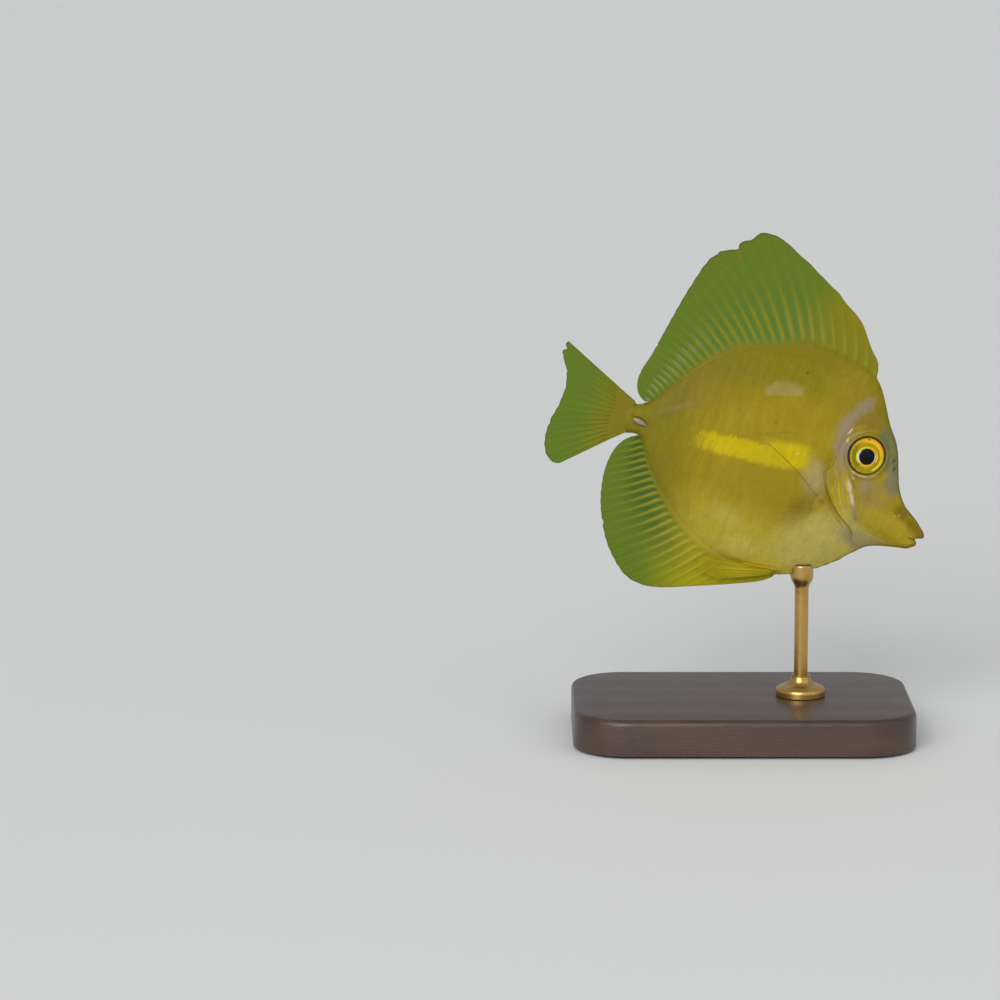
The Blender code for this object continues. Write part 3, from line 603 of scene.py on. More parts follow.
def surface_tree(surface, side):
    """A search tree of a flank's surface, mirrored for the other side."""
    points = (surface * (1.0, side, 1.0)).reshape(-1, 3)
    return BVHTree.FromPolygons(points.tolist(), grid_quads(*surface.shape[:2]))


def skin_side(tree, spot, side):
    """Where a line across the fish at a side-view point meets the skin, or None."""
    start = Vector((spot[0], side * OUTSIDE, spot[1]))
    return tree.ray_cast(start, Vector((0.0, -side, 0.0)))[0]


def seat_frame(tree, centre, radius, side):
    """Matrix with its Z axis straight out of the skin at a side-view point, and X forwards."""
    middle = skin_side(tree, centre, side)
    ahead = skin_side(tree, (centre[0] + radius, centre[1]), side)
    behind = skin_side(tree, (centre[0] - radius, centre[1]), side)
    above = skin_side(tree, (centre[0], centre[1] + radius), side)
    below = skin_side(tree, (centre[0], centre[1] - radius), side)
    out = (ahead - behind).cross(above - below).normalized()
    out = out if out.y * side > 0.0 else -out
    forward = (Vector((1.0, 0.0, 0.0)) - out * out.x).normalized()
    turn = Matrix((forward, out.cross(forward), out)).transposed().to_4x4()
    rim = (ahead + behind + above + below) / 4.0
    return Matrix.Translation(middle.lerp(rim, 0.5)) @ turn


# Modelling


def deselect():
    if bpy.context.mode != "OBJECT":
        bpy.ops.object.mode_set(mode="OBJECT")
    bpy.ops.object.select_all(action="DESELECT")


def select_only(made):
    deselect()
    bpy.context.view_layer.objects.active = made
    made.select_set(True)


def named(name):
    """The primitive that was just added, under its own name."""
    made = bpy.context.object
    made.name = made.data.name = name
    return made


def add_grid(name, columns, rows):
    """Adds a grid of columns by rows of points."""
    deselect()
    bpy.ops.mesh.primitive_grid_add(x_subdivisions=columns - 1, y_subdivisions=rows - 1, size=1.0)
    return named(name)


def shape_grid(made, points):
    """Moves a grid's points to their places, given as [column][row]."""
    order = np.ascontiguousarray(points.transpose(1, 0, 2)).reshape(-1)
    made.data.vertices.foreach_set("co", order)
    made.data.update()


def tip_down(context, made):
    """Takes a mesh from the level frame in millimetres to its place on the stand, in metres."""
    pose = settings(context, "tang_pose")
    place = Matrix.Translation((pose.shift, 0.0, pose.height))
    place = place @ Matrix.Rotation(pose.nose_down, 4, "Y") @ Matrix.Scale(MM, 4)
    made.data.transform(place)
    made.data.update()


def outside_faces(made, merge_mm=0.0):
    """Merges doubles and turns all faces outwards."""
    select_only(made)
    bpy.ops.object.mode_set(mode="EDIT")
    bpy.ops.mesh.select_all(action="SELECT")
    if merge_mm:
        bpy.ops.mesh.remove_doubles(threshold=merge_mm)
    bpy.ops.mesh.normals_make_consistent(inside=False)
    bpy.ops.object.mode_set(mode="OBJECT")


def apply_all(made):
    select_only(made)
    for modifier in list(made.modifiers):
        bpy.ops.object.modifier_apply(modifier=modifier.name)


def settle(context, made, material, replaced=(), smooth_deg=60.0, level=True):
    """Gives a finished mesh its finish, its place in the frame and its smooth shading.

    A level mesh is part of the fish; the others already stand where they belong.
    """
    made.data.materials.clear()
    made.data.materials.append(material)
    if level:
        tip_down(context, made)
    else:
        made.data.transform(Matrix.Scale(MM, 4))
    select_only(made)
    bpy.ops.object.shade_smooth_by_angle(angle=math.radians(smooth_deg))
    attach(made, "root")
    if replaced:
        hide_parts(*replaced)


def turned(name, profile, steps):
    """A solid turned round the Z axis: a disc drawn out and resized, ring by ring.

    The profile is (radius, height) from the rim of the first disc to that of the last one.
    """
    deselect()
    first_radius, first_height = profile[0]
    bpy.ops.mesh.primitive_circle_add(
        vertices=steps, radius=first_radius, fill_type="NGON", location=(0.0, 0.0, first_height),
        enter_editmode=True)
    made = named(name)
    radius, height = first_radius, first_height
    for next_radius, next_height in profile[1:]:
        bpy.ops.mesh.extrude_region_move(
            TRANSFORM_OT_translate={"value": (0.0, 0.0, next_height - height)})
        grow = next_radius / radius
        bpy.ops.transform.resize(value=(grow, grow, 1.0), center_override=(0.0, 0.0, next_height))
        radius, height = next_radius, next_height
    bpy.ops.object.mode_set(mode="OBJECT")
    bpy.ops.object.transform_apply(location=True, rotation=True, scale=True)
    close_ends(made)
    outside_faces(made)
    return made


def close_ends(made):
    """Closes the end discs of a turned solid to a point each, so that they shade smoothly."""
    select_only(made)
    bpy.ops.object.mode_set(mode="EDIT")
    bpy.ops.mesh.select_all(action="DESELECT")
    bpy.ops.object.mode_set(mode="OBJECT")
    for face in made.data.polygons:
        face.select = len(face.vertices) > 4
    bpy.ops.object.mode_set(mode="EDIT")
    bpy.ops.mesh.poke()
    bpy.ops.object.mode_set(mode="OBJECT")


# Shading


class Value:
    """A number, colour or vector on its way through a material."""

    def __init__(self, paint, socket):
        self.paint = paint
        self.socket = socket

    def maths(self, operation, first, second=0.0):
        return self.paint.out("ShaderNodeMath", {"operation": operation}, {0: first, 1: second})

    def __add__(self, other):
        return self.maths("ADD", self, other)

    def __radd__(self, other):
        return self.maths("ADD", other, self)

    def __sub__(self, other):
        return self.maths("SUBTRACT", self, other)

    def __rsub__(self, other):
        return self.maths("SUBTRACT", other, self)

    def __mul__(self, other):
        return self.maths("MULTIPLY", self, other)

    def __rmul__(self, other):
        return self.maths("MULTIPLY", other, self)

    def __truediv__(self, other):
        return self.maths("DIVIDE", self, other)

    def __pow__(self, other):
        return self.maths("POWER", self, other)

    def __abs__(self):
        return self.maths("ABSOLUTE", self)

    def most(self, other):
        return self.maths("MAXIMUM", self, other)

    def least(self, other):
        return self.maths("MINIMUM", self, other)

    def to_nearest(self):
        """Distance from the nearest whole number."""
        return self.maths("PINGPONG", self, 0.5)

    def sine(self):
        return self.maths("SINE", self)


class Paint:
    """A material in the making."""

    def __init__(self, name):
        self.material = bpy.data.materials.new(name)
        self.material.use_nodes = True
        self.tree = self.material.node_tree
        self.tree.nodes.clear()

    def node(self, kind, options=None, inputs=None):
        """Adds a node with its options, and the values or links of its sockets."""
        made = self.tree.nodes.new(kind)
        for key, value in (options or {}).items():
            setattr(made, key, value)
        for key, value in (inputs or {}).items():
            socket = made.inputs[key]
            if isinstance(value, Value):
                self.tree.links.new(value.socket, socket)
            elif socket.type == "RGBA" and len(value) == 3:
                socket.default_value = (*value, 1.0)
            else:
                socket.default_value = value
        return made

    def out(self, kind, options=None, inputs=None, output=0):
        return Value(self, self.node(kind, options, inputs).outputs[output])

    def place(self):
        """The place of a point in Object coordinates, in metres."""
        return self.out("ShaderNodeTexCoord", output="Object")

    def place_mm(self):
        """The same place, in millimetres."""
        return self.vector("MULTIPLY", self.place(), (1 / MM,) * 3)

    def split(self, vector):
        parts = self.node("ShaderNodeSeparateXYZ", inputs={0: vector})
        return [Value(self, part) for part in parts.outputs]

    def join(self, x, y, z):
        return self.out("ShaderNodeCombineXYZ", inputs={0: x, 1: y, 2: z})

    def vector(self, operation, first, second=(0.0, 0.0, 0.0)):
        return self.out("ShaderNodeVectorMath", {"operation": operation}, {0: first, 1: second})

    def measure(self, operation, *vectors):
        """A number from one or two vectors, such as a length, a distance or a dot product."""
        return self.out(
            "ShaderNodeVectorMath", {"operation": operation}, dict(enumerate(vectors)), "Value")

    def ease(self, value, start, end):
        """0 before start, 1 after end, and a smooth rise between them."""
        return self.out(
            "ShaderNodeMapRange", {"interpolation_type": "SMOOTHSTEP"},
            {"Value": value, "From Min": start, "From Max": end})

    def fade(self, value, start, end):
        """1 before start, 0 after end, and a smooth fall between them."""
        return self.out(
            "ShaderNodeMapRange", {"interpolation_type": "SMOOTHSTEP"},
            {"Value": value, "From Min": start, "From Max": end, "To Min": 1.0, "To Max": 0.0})

    def mix(self, first, second, share):
        """A colour between two colours."""
        return self.out(
            "ShaderNodeMix", {"data_type": "RGBA"}, {0: share, 6: first, 7: second}, output=2)

    def tinted(self, first, second, share):
        """A colour multiplied by another one, as far as the share says."""
        return self.out(
            "ShaderNodeMix", {"data_type": "RGBA", "blend_type": "MULTIPLY"},
            {0: share, 6: first, 7: second}, output=2)

    def clouded(self, colour, dark, light, mask, share=1.0):
        """A colour made darker and lighter by a mask, between two factors."""
        return self.tinted(colour, self.mix((dark,) * 3, (light,) * 3, mask), share)

    def noise(self, vector, scale, detail, roughness, colours=False):
        return self.out(
            "ShaderNodeTexNoise", {"noise_dimensions": "3D"},
            {"Vector": vector, "Scale": scale, "Detail": detail, "Roughness": roughness},
            output="Color" if colours else "Fac")

    def grain(self, vector, stretch, scale, detail, roughness):
        """Noise that is finer along the axes with the larger factors."""
        return self.noise(self.vector("MULTIPLY", vector, stretch), scale, detail, roughness)

    def bump(self, height, distance_mm, strength):
        return self.out("ShaderNodeBump", inputs={
            "Height": height, "Distance": distance_mm * MM, "Strength": strength})

    def principled(self, **inputs):
        return self.out("ShaderNodeBsdfPrincipled", inputs={
            key.replace("_", " ").title().replace("Ior", "IOR"): value
            for key, value in inputs.items()
        })

    def finish(self, shader):
        """Puts the shader on the surface, and returns the material."""
        output = self.node("ShaderNodeOutputMaterial")
        self.tree.links.new(shader.socket, output.inputs["Surface"])
        return self.material


def level_place(context, paint):
    """Places in the fish's level frame, in millimetres, from Object coordinates."""
    pose = settings(context, "tang_pose")
    lowered = paint.vector("SUBTRACT", paint.place(), (pose.shift, 0.0, pose.height))
    return paint.out(
        "ShaderNodeMapping", {"vector_type": "POINT"},
        {"Vector": lowered, "Rotation": (0.0, -pose.nose_down, 0.0), "Scale": (1 / MM,) * 3})


def side_view(paint, level, wander=0.0, scale=0.6):
    """The level frame seen from the side, with its lines made to wander by some millimetres."""
    flat = paint.vector("MULTIPLY", level, (1.0, 0.0, 1.0))
    if not wander:
        return flat
    cloud = paint.noise(level, scale, 3.0, 0.55, colours=True)
    cloud = paint.vector("SUBTRACT", cloud, (0.5, 0.5, 0.5))
    return paint.vector("ADD", flat, paint.vector("MULTIPLY", cloud, (wander, 0.0, wander)))


def patch(paint, side, centre, size, turn_deg=0.0, soft=0.4, stir=None, boxy=False):
    """A mask of an ellipse: 1 inside and 0 outside, soft at its edge. Turned anticlockwise.

    Stir moves its edge in and out, and a boxy one has blunt corners.
    """
    turn = math.radians(turn_deg)
    axes = [
        Vector((math.cos(turn), 0.0, math.sin(turn))) / size[0],
        Vector((-math.sin(turn), 0.0, math.cos(turn))) / size[1],
    ]
    middle = [axis.dot((centre[0], 0.0, centre[1])) for axis in axes]
    along, up = (paint.measure("DOT_PRODUCT", side, axis) for axis in axes)
    if boxy:
        reach = (abs(along - middle[0]) ** 4.0 + abs(up - middle[1]) ** 4.0) ** 0.25
    else:
        reach = paint.measure("DISTANCE", paint.join(along, up, 0.0), (*middle, 0.0))
    if stir is not None:
        reach = reach + stir
    return paint.fade(reach, 1.0 - soft, 1.0 + soft)


def stroke(paint, side, start, end, half_width, soft=0.6):
    """A mask of a straight streak between two side-view points."""
    run = (end[0] - start[0], end[1] - start[1])
    middle = ((start[0] + end[0]) / 2, (start[1] + end[1]) / 2)
    reach = math.hypot(*run) / 2
    turn_deg = math.degrees(math.atan2(run[1], run[0]))
    return patch(paint, side, middle, (reach, half_width), turn_deg, soft)


STREAK_OVERLAP = 0.12  # how far the streaks of a bent line run on, as a share of their length


def line_of_strokes(paint, side, points, half_width, soft=0.7):
    """A mask of a bent line, from a streak for each of its stretches."""
    mask = None
    for start, end in zip(points, points[1:]):
        run = (end[0] - start[0], end[1] - start[1])
        grown = (
            (start[0] - STREAK_OVERLAP * run[0], start[1] - STREAK_OVERLAP * run[1]),
            (end[0] + STREAK_OVERLAP * run[0], end[1] + STREAK_OVERLAP * run[1]),
        )
        part = stroke(paint, side, *grown, half_width, soft)
        mask = part if mask is None else mask.most(part)
    return mask


# Marks of the body, with painted shade and highlights, in the level frame: colour, middle, half sizes,
# turn, softness, strength
BODY_PATCHES = [
    ("sunlit", (6.0, 4.4), (6.0, 2.6), 8, 0.6, 0.8),
    # Painted shade that darkens the upper rear flank, which faces the light
    ("marks_and_shade", (-7.0, 5.0), (6.0, 3.6), 22, 0.8, 0.24),
    ("chest", (14.0, -10.5), (6.0, 3.8), 35, 0.5, 1.0),
    ("glow", (4.6, -14.1), (2.6, 1.3), 8, 0.6, 0.5),
    ("glow", (1.5, -10.9), (2.6, 1.1), -25, 0.6, 0.3),
    ("gold", (8.6, -15.8), (3.2, 0.7), 6, 0.5, 0.45),
    ("pale_and_highlight", (10.7, -2.7), (1.5, 2.3), 20, 0.6, 0.65),
    # Painted shade under the breast fin
    ("marks_and_shade", (10.2, -6.9), (1.1, 2.4), -26, 0.8, 0.36),
]
FACE_PATCHES = [
    ("ochre", (14.9, 6.1), (1.9, 1.05), 24, 0.5, 0.7),
    ("gold", (14.2, 5.2), (0.7, 0.3), 30, 0.6, 0.35),
    ("ochre", (-17.5, 1.4), (3.6, 1.0), 28, 0.6, 0.3),
    ("lilac", (20.5, -0.6), (0.8, 1.9), 20, 0.7, 0.35),
    ("cheek", (18.5, -2.9), (1.9, 2.4), 20, 0.5, 0.9),
    ("lilac", (17.3, -1.6), (0.8, 0.7), 0, 0.6, 0.45),
    ("lilac", (13.7, 1.4), (1.1, 2.2), -12, 0.5, 0.55),
    ("snout", (21.4, -5.9), (4.0, 1.6), -14, 0.4, 0.85),
    ("throat", (18.9, -8.9), (3.4, 1.2), -10, 0.5, 0.75),
]
FACE_BANDS = [
    ("teal", [(17.6, 5.7), (19.2, 3.4), (20.5, 0.6), (21.1, -1.6)], 1.2, 0.5, 0.85),
    ("lilac", [(14.7, 8.9), (13.4, 7.0), (12.4, 5.3)], 0.85, 0.55, 0.7),
    ("lilac", [(12.5, 5.5), (12.3, 3.3), (12.8, 1.4)], 1.0, 0.7, 0.7),
    ("ridge", [(22.2, -3.3), (24.0, -4.4), (26.0, -5.8)], 0.75, 0.6, 0.9),
]
FACE_LINES = [
    ("gold", [(14.65, -1.7), (15.25, -3.1), (16.1, -4.9)], 0.17, 0.6, 0.7),
    ("gold", [(13.9, -2.5), (14.5, -4.0), (15.3, -5.1), (16.3, -6.2)], 0.18, 0.6, 0.75),
    ("gold", [(13.2, -3.0), (13.85, -4.35), (14.95, -5.6), (16.2, -6.55)], 0.14, 0.6, 0.6),
    ("pale_and_highlight", [(14.3, -1.9), (14.9, -3.5), (15.7, -5.0), (16.7, -6.3)], 0.1, 0.6, 0.6),
    ("pale_and_highlight", [(13.4, -2.4), (14.1, -4.1), (15.1, -5.3), (16.2, -6.35)], 0.08, 0.6, 0.5),
    ("pale_and_highlight", [(12.6, 0.6), (12.9, -0.8), (13.5, -1.8)], 0.12, 0.6, 0.45),
    ("streak_and_highlight", [(15.05, -1.8), (15.7, -3.0), (16.6, -4.6)], 0.25, 0.6, 0.95),
    ("lilac", [(16.5, -4.5), (17.0, -5.4), (17.6, -6.4)], 0.26, 0.6, 0.75),
    ("marks_and_shade", [(14.7, -0.7), (15.3, -1.5), (16.1, -2.3)], 0.13, 0.6, 0.4),
    # Painted shade in the gill opening along the edge of the gill cover, in the next three lines
    ("marks_and_shade", [(12.45, 0.9), (12.45, 0.2), (12.15, -0.6), (11.75, -1.2), (11.6, -1.7)], 0.09, 0.6, 0.35),
    ("marks_and_shade", [(11.5, -1.4), (12.1, -2.8), (12.8, -4.0)], 0.1, 0.6, 0.3),
    ("marks_and_shade", [(12.8, -3.7), (13.9, -5.2), (15.4, -6.5), (17.2, -7.5), (17.9, -8.3)], 0.13, 0.6, 0.4),
    ("rust", [(12.4, -3.2), (13.1, -4.6), (13.9, -5.6), (14.9, -6.6), (16.3, -7.7)], 0.15, 0.7, 0.5),
    ("pale_and_highlight", [(18.0, -7.2), (19.9, -7.75), (21.4, -8.0), (22.4, -8.1)], 0.12, 0.6, 0.55),
    ("streak_and_highlight", [(14.9, -0.3), (16.2, -0.62), (17.4, -0.55), (18.3, 0.1)], 0.15, 0.6, 0.5),
    # Painted highlights behind and above the eye, in the next two lines
    ("streak_and_highlight", [(13.0, 4.15), (13.3, 4.85)], 0.13, 0.6, 0.85),
    ("pale_and_highlight", [(13.7, 4.0), (14.3, 4.6), (15.2, 5.0)], 0.12, 0.6, 0.5),
    ("marks_and_shade", [(2.0, 0.5), (5.7, 1.85)], 0.12, 0.7, 0.2),
    ("lilac", [(-10.3, -0.6), (-7.0, 1.7)], 0.3, 0.8, 0.22),
]
FACE_SPOTS = [
    # Painted highlight behind the eye
    ("streak_and_highlight", (13.2, 3.3), (0.13, 0.3), -10, 0.6, 0.8),
    ("streak_and_highlight", (15.5, -1.15), (0.15, 0.13), 0, 0.6, 0.8),
    ("rust", (15.85, -1.1), (0.26, 0.14), 0, 0.6, 0.6),
    ("rust", (12.45, -5.2), (0.35, 0.32), 0, 0.6, 0.7),
    # Painted highlights on the snout, in the next two spots
    ("streak_and_highlight", (22.25, -4.4), (0.1, 0.2), -20, 0.6, 0.4),
    ("streak_and_highlight", (22.85, -4.15), (0.1, 0.2), -20, 0.6, 0.4),
    ("streak_and_highlight", (7.7, -0.3), (0.13, 0.13), 0, 0.5, 0.6),
    ("lip", (26.9, -6.0), (1.0, 0.6), -25, 0.5, 0.75),
    ("lip", (26.3, -7.5), (0.7, 0.5), 0, 0.5, 0.6),
    ("marks_and_shade", (5.7, 9.75), (0.16, 0.16), 0, 0.4, 0.85),
    ("marks_and_shade", (3.75, 2.7), (0.3, 0.28), 0, 0.6, 0.25),
    # Painted shade in the nostrils, in the next two spots
    ("marks_and_shade", NOSTRILS[0], (0.13, 0.2), 0, 0.5, 0.3),
    ("marks_and_shade", NOSTRILS[1], (0.13, 0.2), 0, 0.5, 0.3),
]


# Dark rings round the eye, the inner one painted shade in the seam round the eyeball: radius, how far
# from it they are full and gone, strength
EYE_RINGS = [(2.47, 0.03, 0.13, 0.2), (2.95, 0.05, 0.2, 0.16)]


def lay_patches(paint, ground, skin, place, marks):
    """Lays soft ellipses of the skin's colours over the ground: marks, painted shade and painted
    highlights.
    """
    for tone, middle, size, turn, soft, strength in marks:
        ground = paint.mix(
            ground, getattr(skin, tone), patch(paint, place, middle, size, turn, soft) * strength)
    return ground


def lay_lines(paint, ground, skin, place, marks):
    """Lays bent streaks of the skin's colours over the ground: marks, painted shade and painted
    highlights.
    """
    for tone, points, half_width, soft, strength in marks:
        ground = paint.mix(
            ground, getattr(skin, tone),
            line_of_strokes(paint, place, points, half_width, soft) * strength)
    return ground


def ground_colour(paint, skin, side):
    """The body's ground: a dark back, a paler belly, duller towards the tail."""
    x, _, z = paint.split(side)
    ground = paint.mix(skin.belly, skin.flank, paint.ease(z, -13.0, -7.0))
    ground = paint.mix(ground, skin.back, paint.ease(z, 2.5, 9.0))
    ground = paint.mix(ground, skin.rear, paint.fade(x + z * 0.15, -10.5, -2.5))
    return paint.mix(ground, skin.nape, patch(paint, side, (12.5, 9.0), (4.0, 4.2), 0, 0.6))


def body_colour(context, paint, level):
    """Colours and markings of the body, with painted shade and highlights, shared by skin and scales."""
    skin = settings(context, "tang_skin")
    side = side_view(paint, level, wander=1.1)
    still = side_view(paint, level, wander=0.22, scale=2.0)
    mottle = paint.noise(level, 0.8, 4.0, 0.6)
    fine = paint.grain(level, (3.2, 3.2, 0.7), 0.9, 3.0, 0.6)
    broad = paint.grain(level, (1.3, 1.3, 0.22), 1.0, 3.0, 0.55)
    ground = ground_colour(paint, skin, side)
    ground = lay_patches(paint, ground, skin, side, BODY_PATCHES)

    # The bright stripe with its ragged edges
    ragged = (fine - 0.5) * 1.1 + (broad - 0.5) * 0.5
    stripe = patch(paint, still, (1.8, -1.9), (6.5, 1.3), 5, 0.26, stir=ragged, boxy=True)
    end = patch(paint, still, (6.3, -0.95), (2.9, 1.6), 10, 0.36, stir=ragged * 0.3, boxy=True)
    ground = paint.mix(ground, skin.band, stripe.most(end) * 0.92)

    # A pale dome with a level foot on the back
    still_x, _, still_z = paint.split(still)
    dome = patch(paint, still, (3.6, 6.6), (2.35, 1.35), 16, 0.2, stir=(fine - 0.5) * 0.5)
    dome = dome * paint.ease(still_z - still_x * 0.3, 4.95, 5.2)
    ground = paint.mix(ground, skin.pale_and_highlight, dome * 0.34)

    # Face and gill cover
    ground = lay_lines(paint, ground, skin, still, FACE_BANDS)
    ground = lay_patches(paint, ground, skin, side, FACE_PATCHES)
    fans = paint.grain(level, (4.0, 1.0, 0.9), 0.75, 2.0, 0.5)
    gold = patch(paint, side, (14.6, -2.9), (1.5, 3.4), 28, 0.5) * paint.ease(fans, 0.4, 0.62)
    ground = paint.mix(ground, skin.gold, gold * 0.4)
    lilac = patch(paint, side, (15.3, -2.6), (1.6, 3.2), 30, 0.5) * paint.fade(fans, 0.38, 0.5)
    ground = paint.mix(ground, skin.pale_and_highlight, lilac * 0.5)
    ground = lay_lines(paint, ground, skin, still, FACE_LINES)
    ground = lay_patches(paint, ground, skin, still, FACE_SPOTS)

    # Thin dark lines: painted shade in the seam of the mouth, rings round the eye, the profile of the
    # head
    dark = line_of_strokes(paint, still, MOUTH_LINE, 0.1) * 0.8
    ring = paint.vector("SUBTRACT", still, (EYE_CENTRE[0], 0.0, EYE_CENTRE[1]))
    to_eye = paint.measure("LENGTH", ring)
    for radius, full, gone, strength in EYE_RINGS:
        dark = dark.most(paint.fade(abs(to_eye - radius), full, gone) * strength)
    edge_on = abs(paint.split(level)[1])
    thin = paint.fade(edge_on, 0.25, 0.6) * paint.ease(still_x, 15.0, 17.5)
    ground = paint.mix(ground, skin.marks_and_shade, dark.most(thin * 0.45))

    # Fine and broad upright streaks and mottling over all
    ground = paint.clouded(ground, 0.8, 1.16, mottle, 0.5)
    ground = paint.clouded(ground, 0.76, 1.24, broad, 0.75)
    return paint.clouded(ground, 0.84, 1.14, fine, 0.5), fine


def make_skin_paint(context, name, tinted_by_scale=False):
    """Silky skin, with or without a slight change of tone from scale to scale."""
    paint = Paint(name)
    level = level_place(context, paint)
    ground, fine = body_colour(context, paint, level)
    if tinted_by_scale:
        tone = paint.out("ShaderNodeAttribute", {"attribute_name": "tone"}, output="Fac")
        ground = paint.clouded(ground, 0.95, 1.05, tone)
    grit = paint.noise(level, 9.0, 3.0, 0.6)
    return paint.finish(paint.principled(
        base_color=ground, roughness=0.42 + 0.16 * grit,
        normal=paint.bump(fine * 0.7 + grit * 0.3, 0.03, 0.5), specular_ior_level=0.08))


def ray_pattern(paint, rays, spines, wide=1.0):
    """A mask of the rays from the fin's own map, the share of the way out, and the ray's number."""
    uv = paint.out("ShaderNodeUVMap", {"uv_map": "UVMap"})
    number, out, _ = paint.split(uv)
    number = number * (rays - 1.0)
    soft = paint.ease(number, spines - 0.6, spines - 0.4)
    off = abs(number.to_nearest() - BRANCH_SPREAD * soft * paint.ease(out, BRANCH_FROM, 1.0))
    width = RAY_HALF * (wide - (wide - RAY_TAPER) * out)
    mask = paint.fade(off / width, 0.35, 1.45)
    return mask, out, number


def fin_shader(paint, web, alpha, mask, out, level, glow=0.0, glow_colour=(0.0, 0.0, 0.0)):
    """Joins a fin's colour and clearness to a shader, which may also let light through."""
    grit = paint.noise(level, 5.0, 3.0, 0.6)
    joints = (out * RAY_JOINTS).to_nearest()
    height = mask * 0.8 * paint.ease(out, 0.0, 0.3) + grit * 0.25
    height = height - paint.fade(joints, 0.0, 0.16) * mask * 0.35
    front = paint.principled(
        base_color=paint.clouded(web, 0.9, 1.1, grit, 0.7), roughness=0.42 + 0.1 * grit,
        alpha=alpha, normal=paint.bump(height, 0.04, 0.4), specular_ior_level=0.1)
    if not glow:
        return front
    back = paint.out("ShaderNodeBsdfTranslucent", inputs={"Color": glow_colour})
    return paint.out("ShaderNodeMixShader", inputs={0: glow, 1: front, 2: back})


# Healed tears of the back fin: points and half width
DORSAL_TEARS = [
    ([(-8.0, 22.6), (-7.6, 21.7), (-6.9, 20.7)], 0.14),
    ([(-10.3, 19.7), (-9.3, 19.7), (-7.8, 18.9)], 0.1),
]


def make_median_paint(context, name, rays, spines, front_at, fore, gap, keen=1.0,
                      foot=(0.02, 0.1), glint=0.0):
    """Back, anal and tail fin: green web, yellow rays, and darker green between their feet.

    The front's own colour, fore, ends where front_at says: a lean, the height it starts from, and
    the places from which it grows and is full. Gap is the colour between the feet of the rays,
    keen how strong gaps and rays are, foot how far out the colour of the body reaches, and glint
    how strong the pale ends of the hindmost gaps are.
    """
    fins = settings(context, "tang_fins")
    skin = settings(context, "tang_skin")
    paint = Paint(name)
    level = level_place(context, paint)
    side = side_view(paint, level, wander=0.9)
    x, _, z = paint.split(side)
    mask, out, number = ray_pattern(paint, rays, spines, wide=1.35)
    lean, height, grows, full = front_at
    front = paint.ease(x - (abs(z) - height) * lean, grows, full)
    web = paint.mix(fins.web, fore, front)

    # Strips between the inner parts of the rays, with pale ends at the far rear
    cloud = paint.noise(level, 1.1, 2.0, 0.5)
    reach = out + (cloud - 0.5) * 0.22
    strips = (1.0 - mask) * (1.0 - front * 0.85) * keen
    gaps = strips * paint.ease(out, 0.03, 0.1) * paint.fade(reach, 0.24, 0.68)
    web = paint.mix(web, gap, gaps)
    if glint:
        thin = paint.fade((number + 0.3).to_nearest(), 0.03, 0.16) * paint.fade(x, -11.5, -6.5)
        web = paint.mix(web, fins.glint, thin * paint.fade(abs(reach - 0.36), 0.06, 0.26) * glint)
    lines = mask * keen * (0.06 + 0.8 * paint.fade(reach, 0.2, 0.72)) * (1.0 - 0.7 * front)
    web = paint.mix(web, paint.mix(fins.ray, fins.ray_pale, front), lines)

    # The colour of the body runs up over the fin's foot, a tenth lighter: painted light against the
    # shade where fin and body meet
    body = ground_colour(paint, skin, side)
    over = paint.fade(out - (0.05 * mask + 0.08 * front) + 0.06 * (cloud - 0.5), *foot)
    web = paint.mix(web, paint.tinted(body, (1.1, 1.1, 1.1), 1.0), over)
    margin = paint.ease(out, 0.978, 0.994)
    web = paint.mix(web, paint.mix(fins.margin, skin.rust, front), margin * 0.6)
    plain = side_view(paint, level)
    long_tear, short_tear = (line_of_strokes(paint, plain, *tear) for tear in DORSAL_TEARS)
    web = paint.mix(web, fins.tear, long_tear.most(short_tear * 0.5) * 0.6)
    alpha = 0.98 - 0.05 * gaps - 0.04 * paint.ease(out, 0.2, 0.6) * (1.0 - mask)
    return paint.finish(fin_shader(paint, web, alpha, mask * keen, out, level, 0.15, fins.web))


def make_pectoral_paint(context):
    """Breast fin: all but clear, with hair-fine rays and a dark leading edge."""
    fins = settings(context, "tang_fins")
    skin = settings(context, "tang_skin")
    paint = Paint("pectoral_web")
    level = level_place(context, paint)
    mask, out, number = ray_pattern(paint, fins.pectoral_rays, 1)
    web = paint.mix(fins.breast, fins.ray, mask * 0.4)
    lead = paint.fade(number, 0.1, 0.34)
    web = paint.mix(web, skin.lip, lead * paint.fade(out, 0.5, 1.1) * 0.8)
    foot = paint.fade(out, 0.0, 0.2)
    low = paint.ease(number, fins.pectoral_rays - 9.0, fins.pectoral_rays - 5.0)
    # Painted shade on the lower rays near the root
    web = paint.mix(web, skin.marks_and_shade, low * mask * paint.fade(out, 0.15, 0.6) * 0.4)
    alpha = 0.025 + 0.06 * mask * (1.0 - 0.6 * out) + 0.36 * lead * (1.0 - 0.5 * out) + 0.08 * foot
    alpha = alpha + 0.1 * low * mask * paint.ease(out, 0.05, 0.2) * paint.fade(out, 0.25, 0.85)
    return paint.finish(fin_shader(paint, web, alpha.least(1.0), mask, out, level))


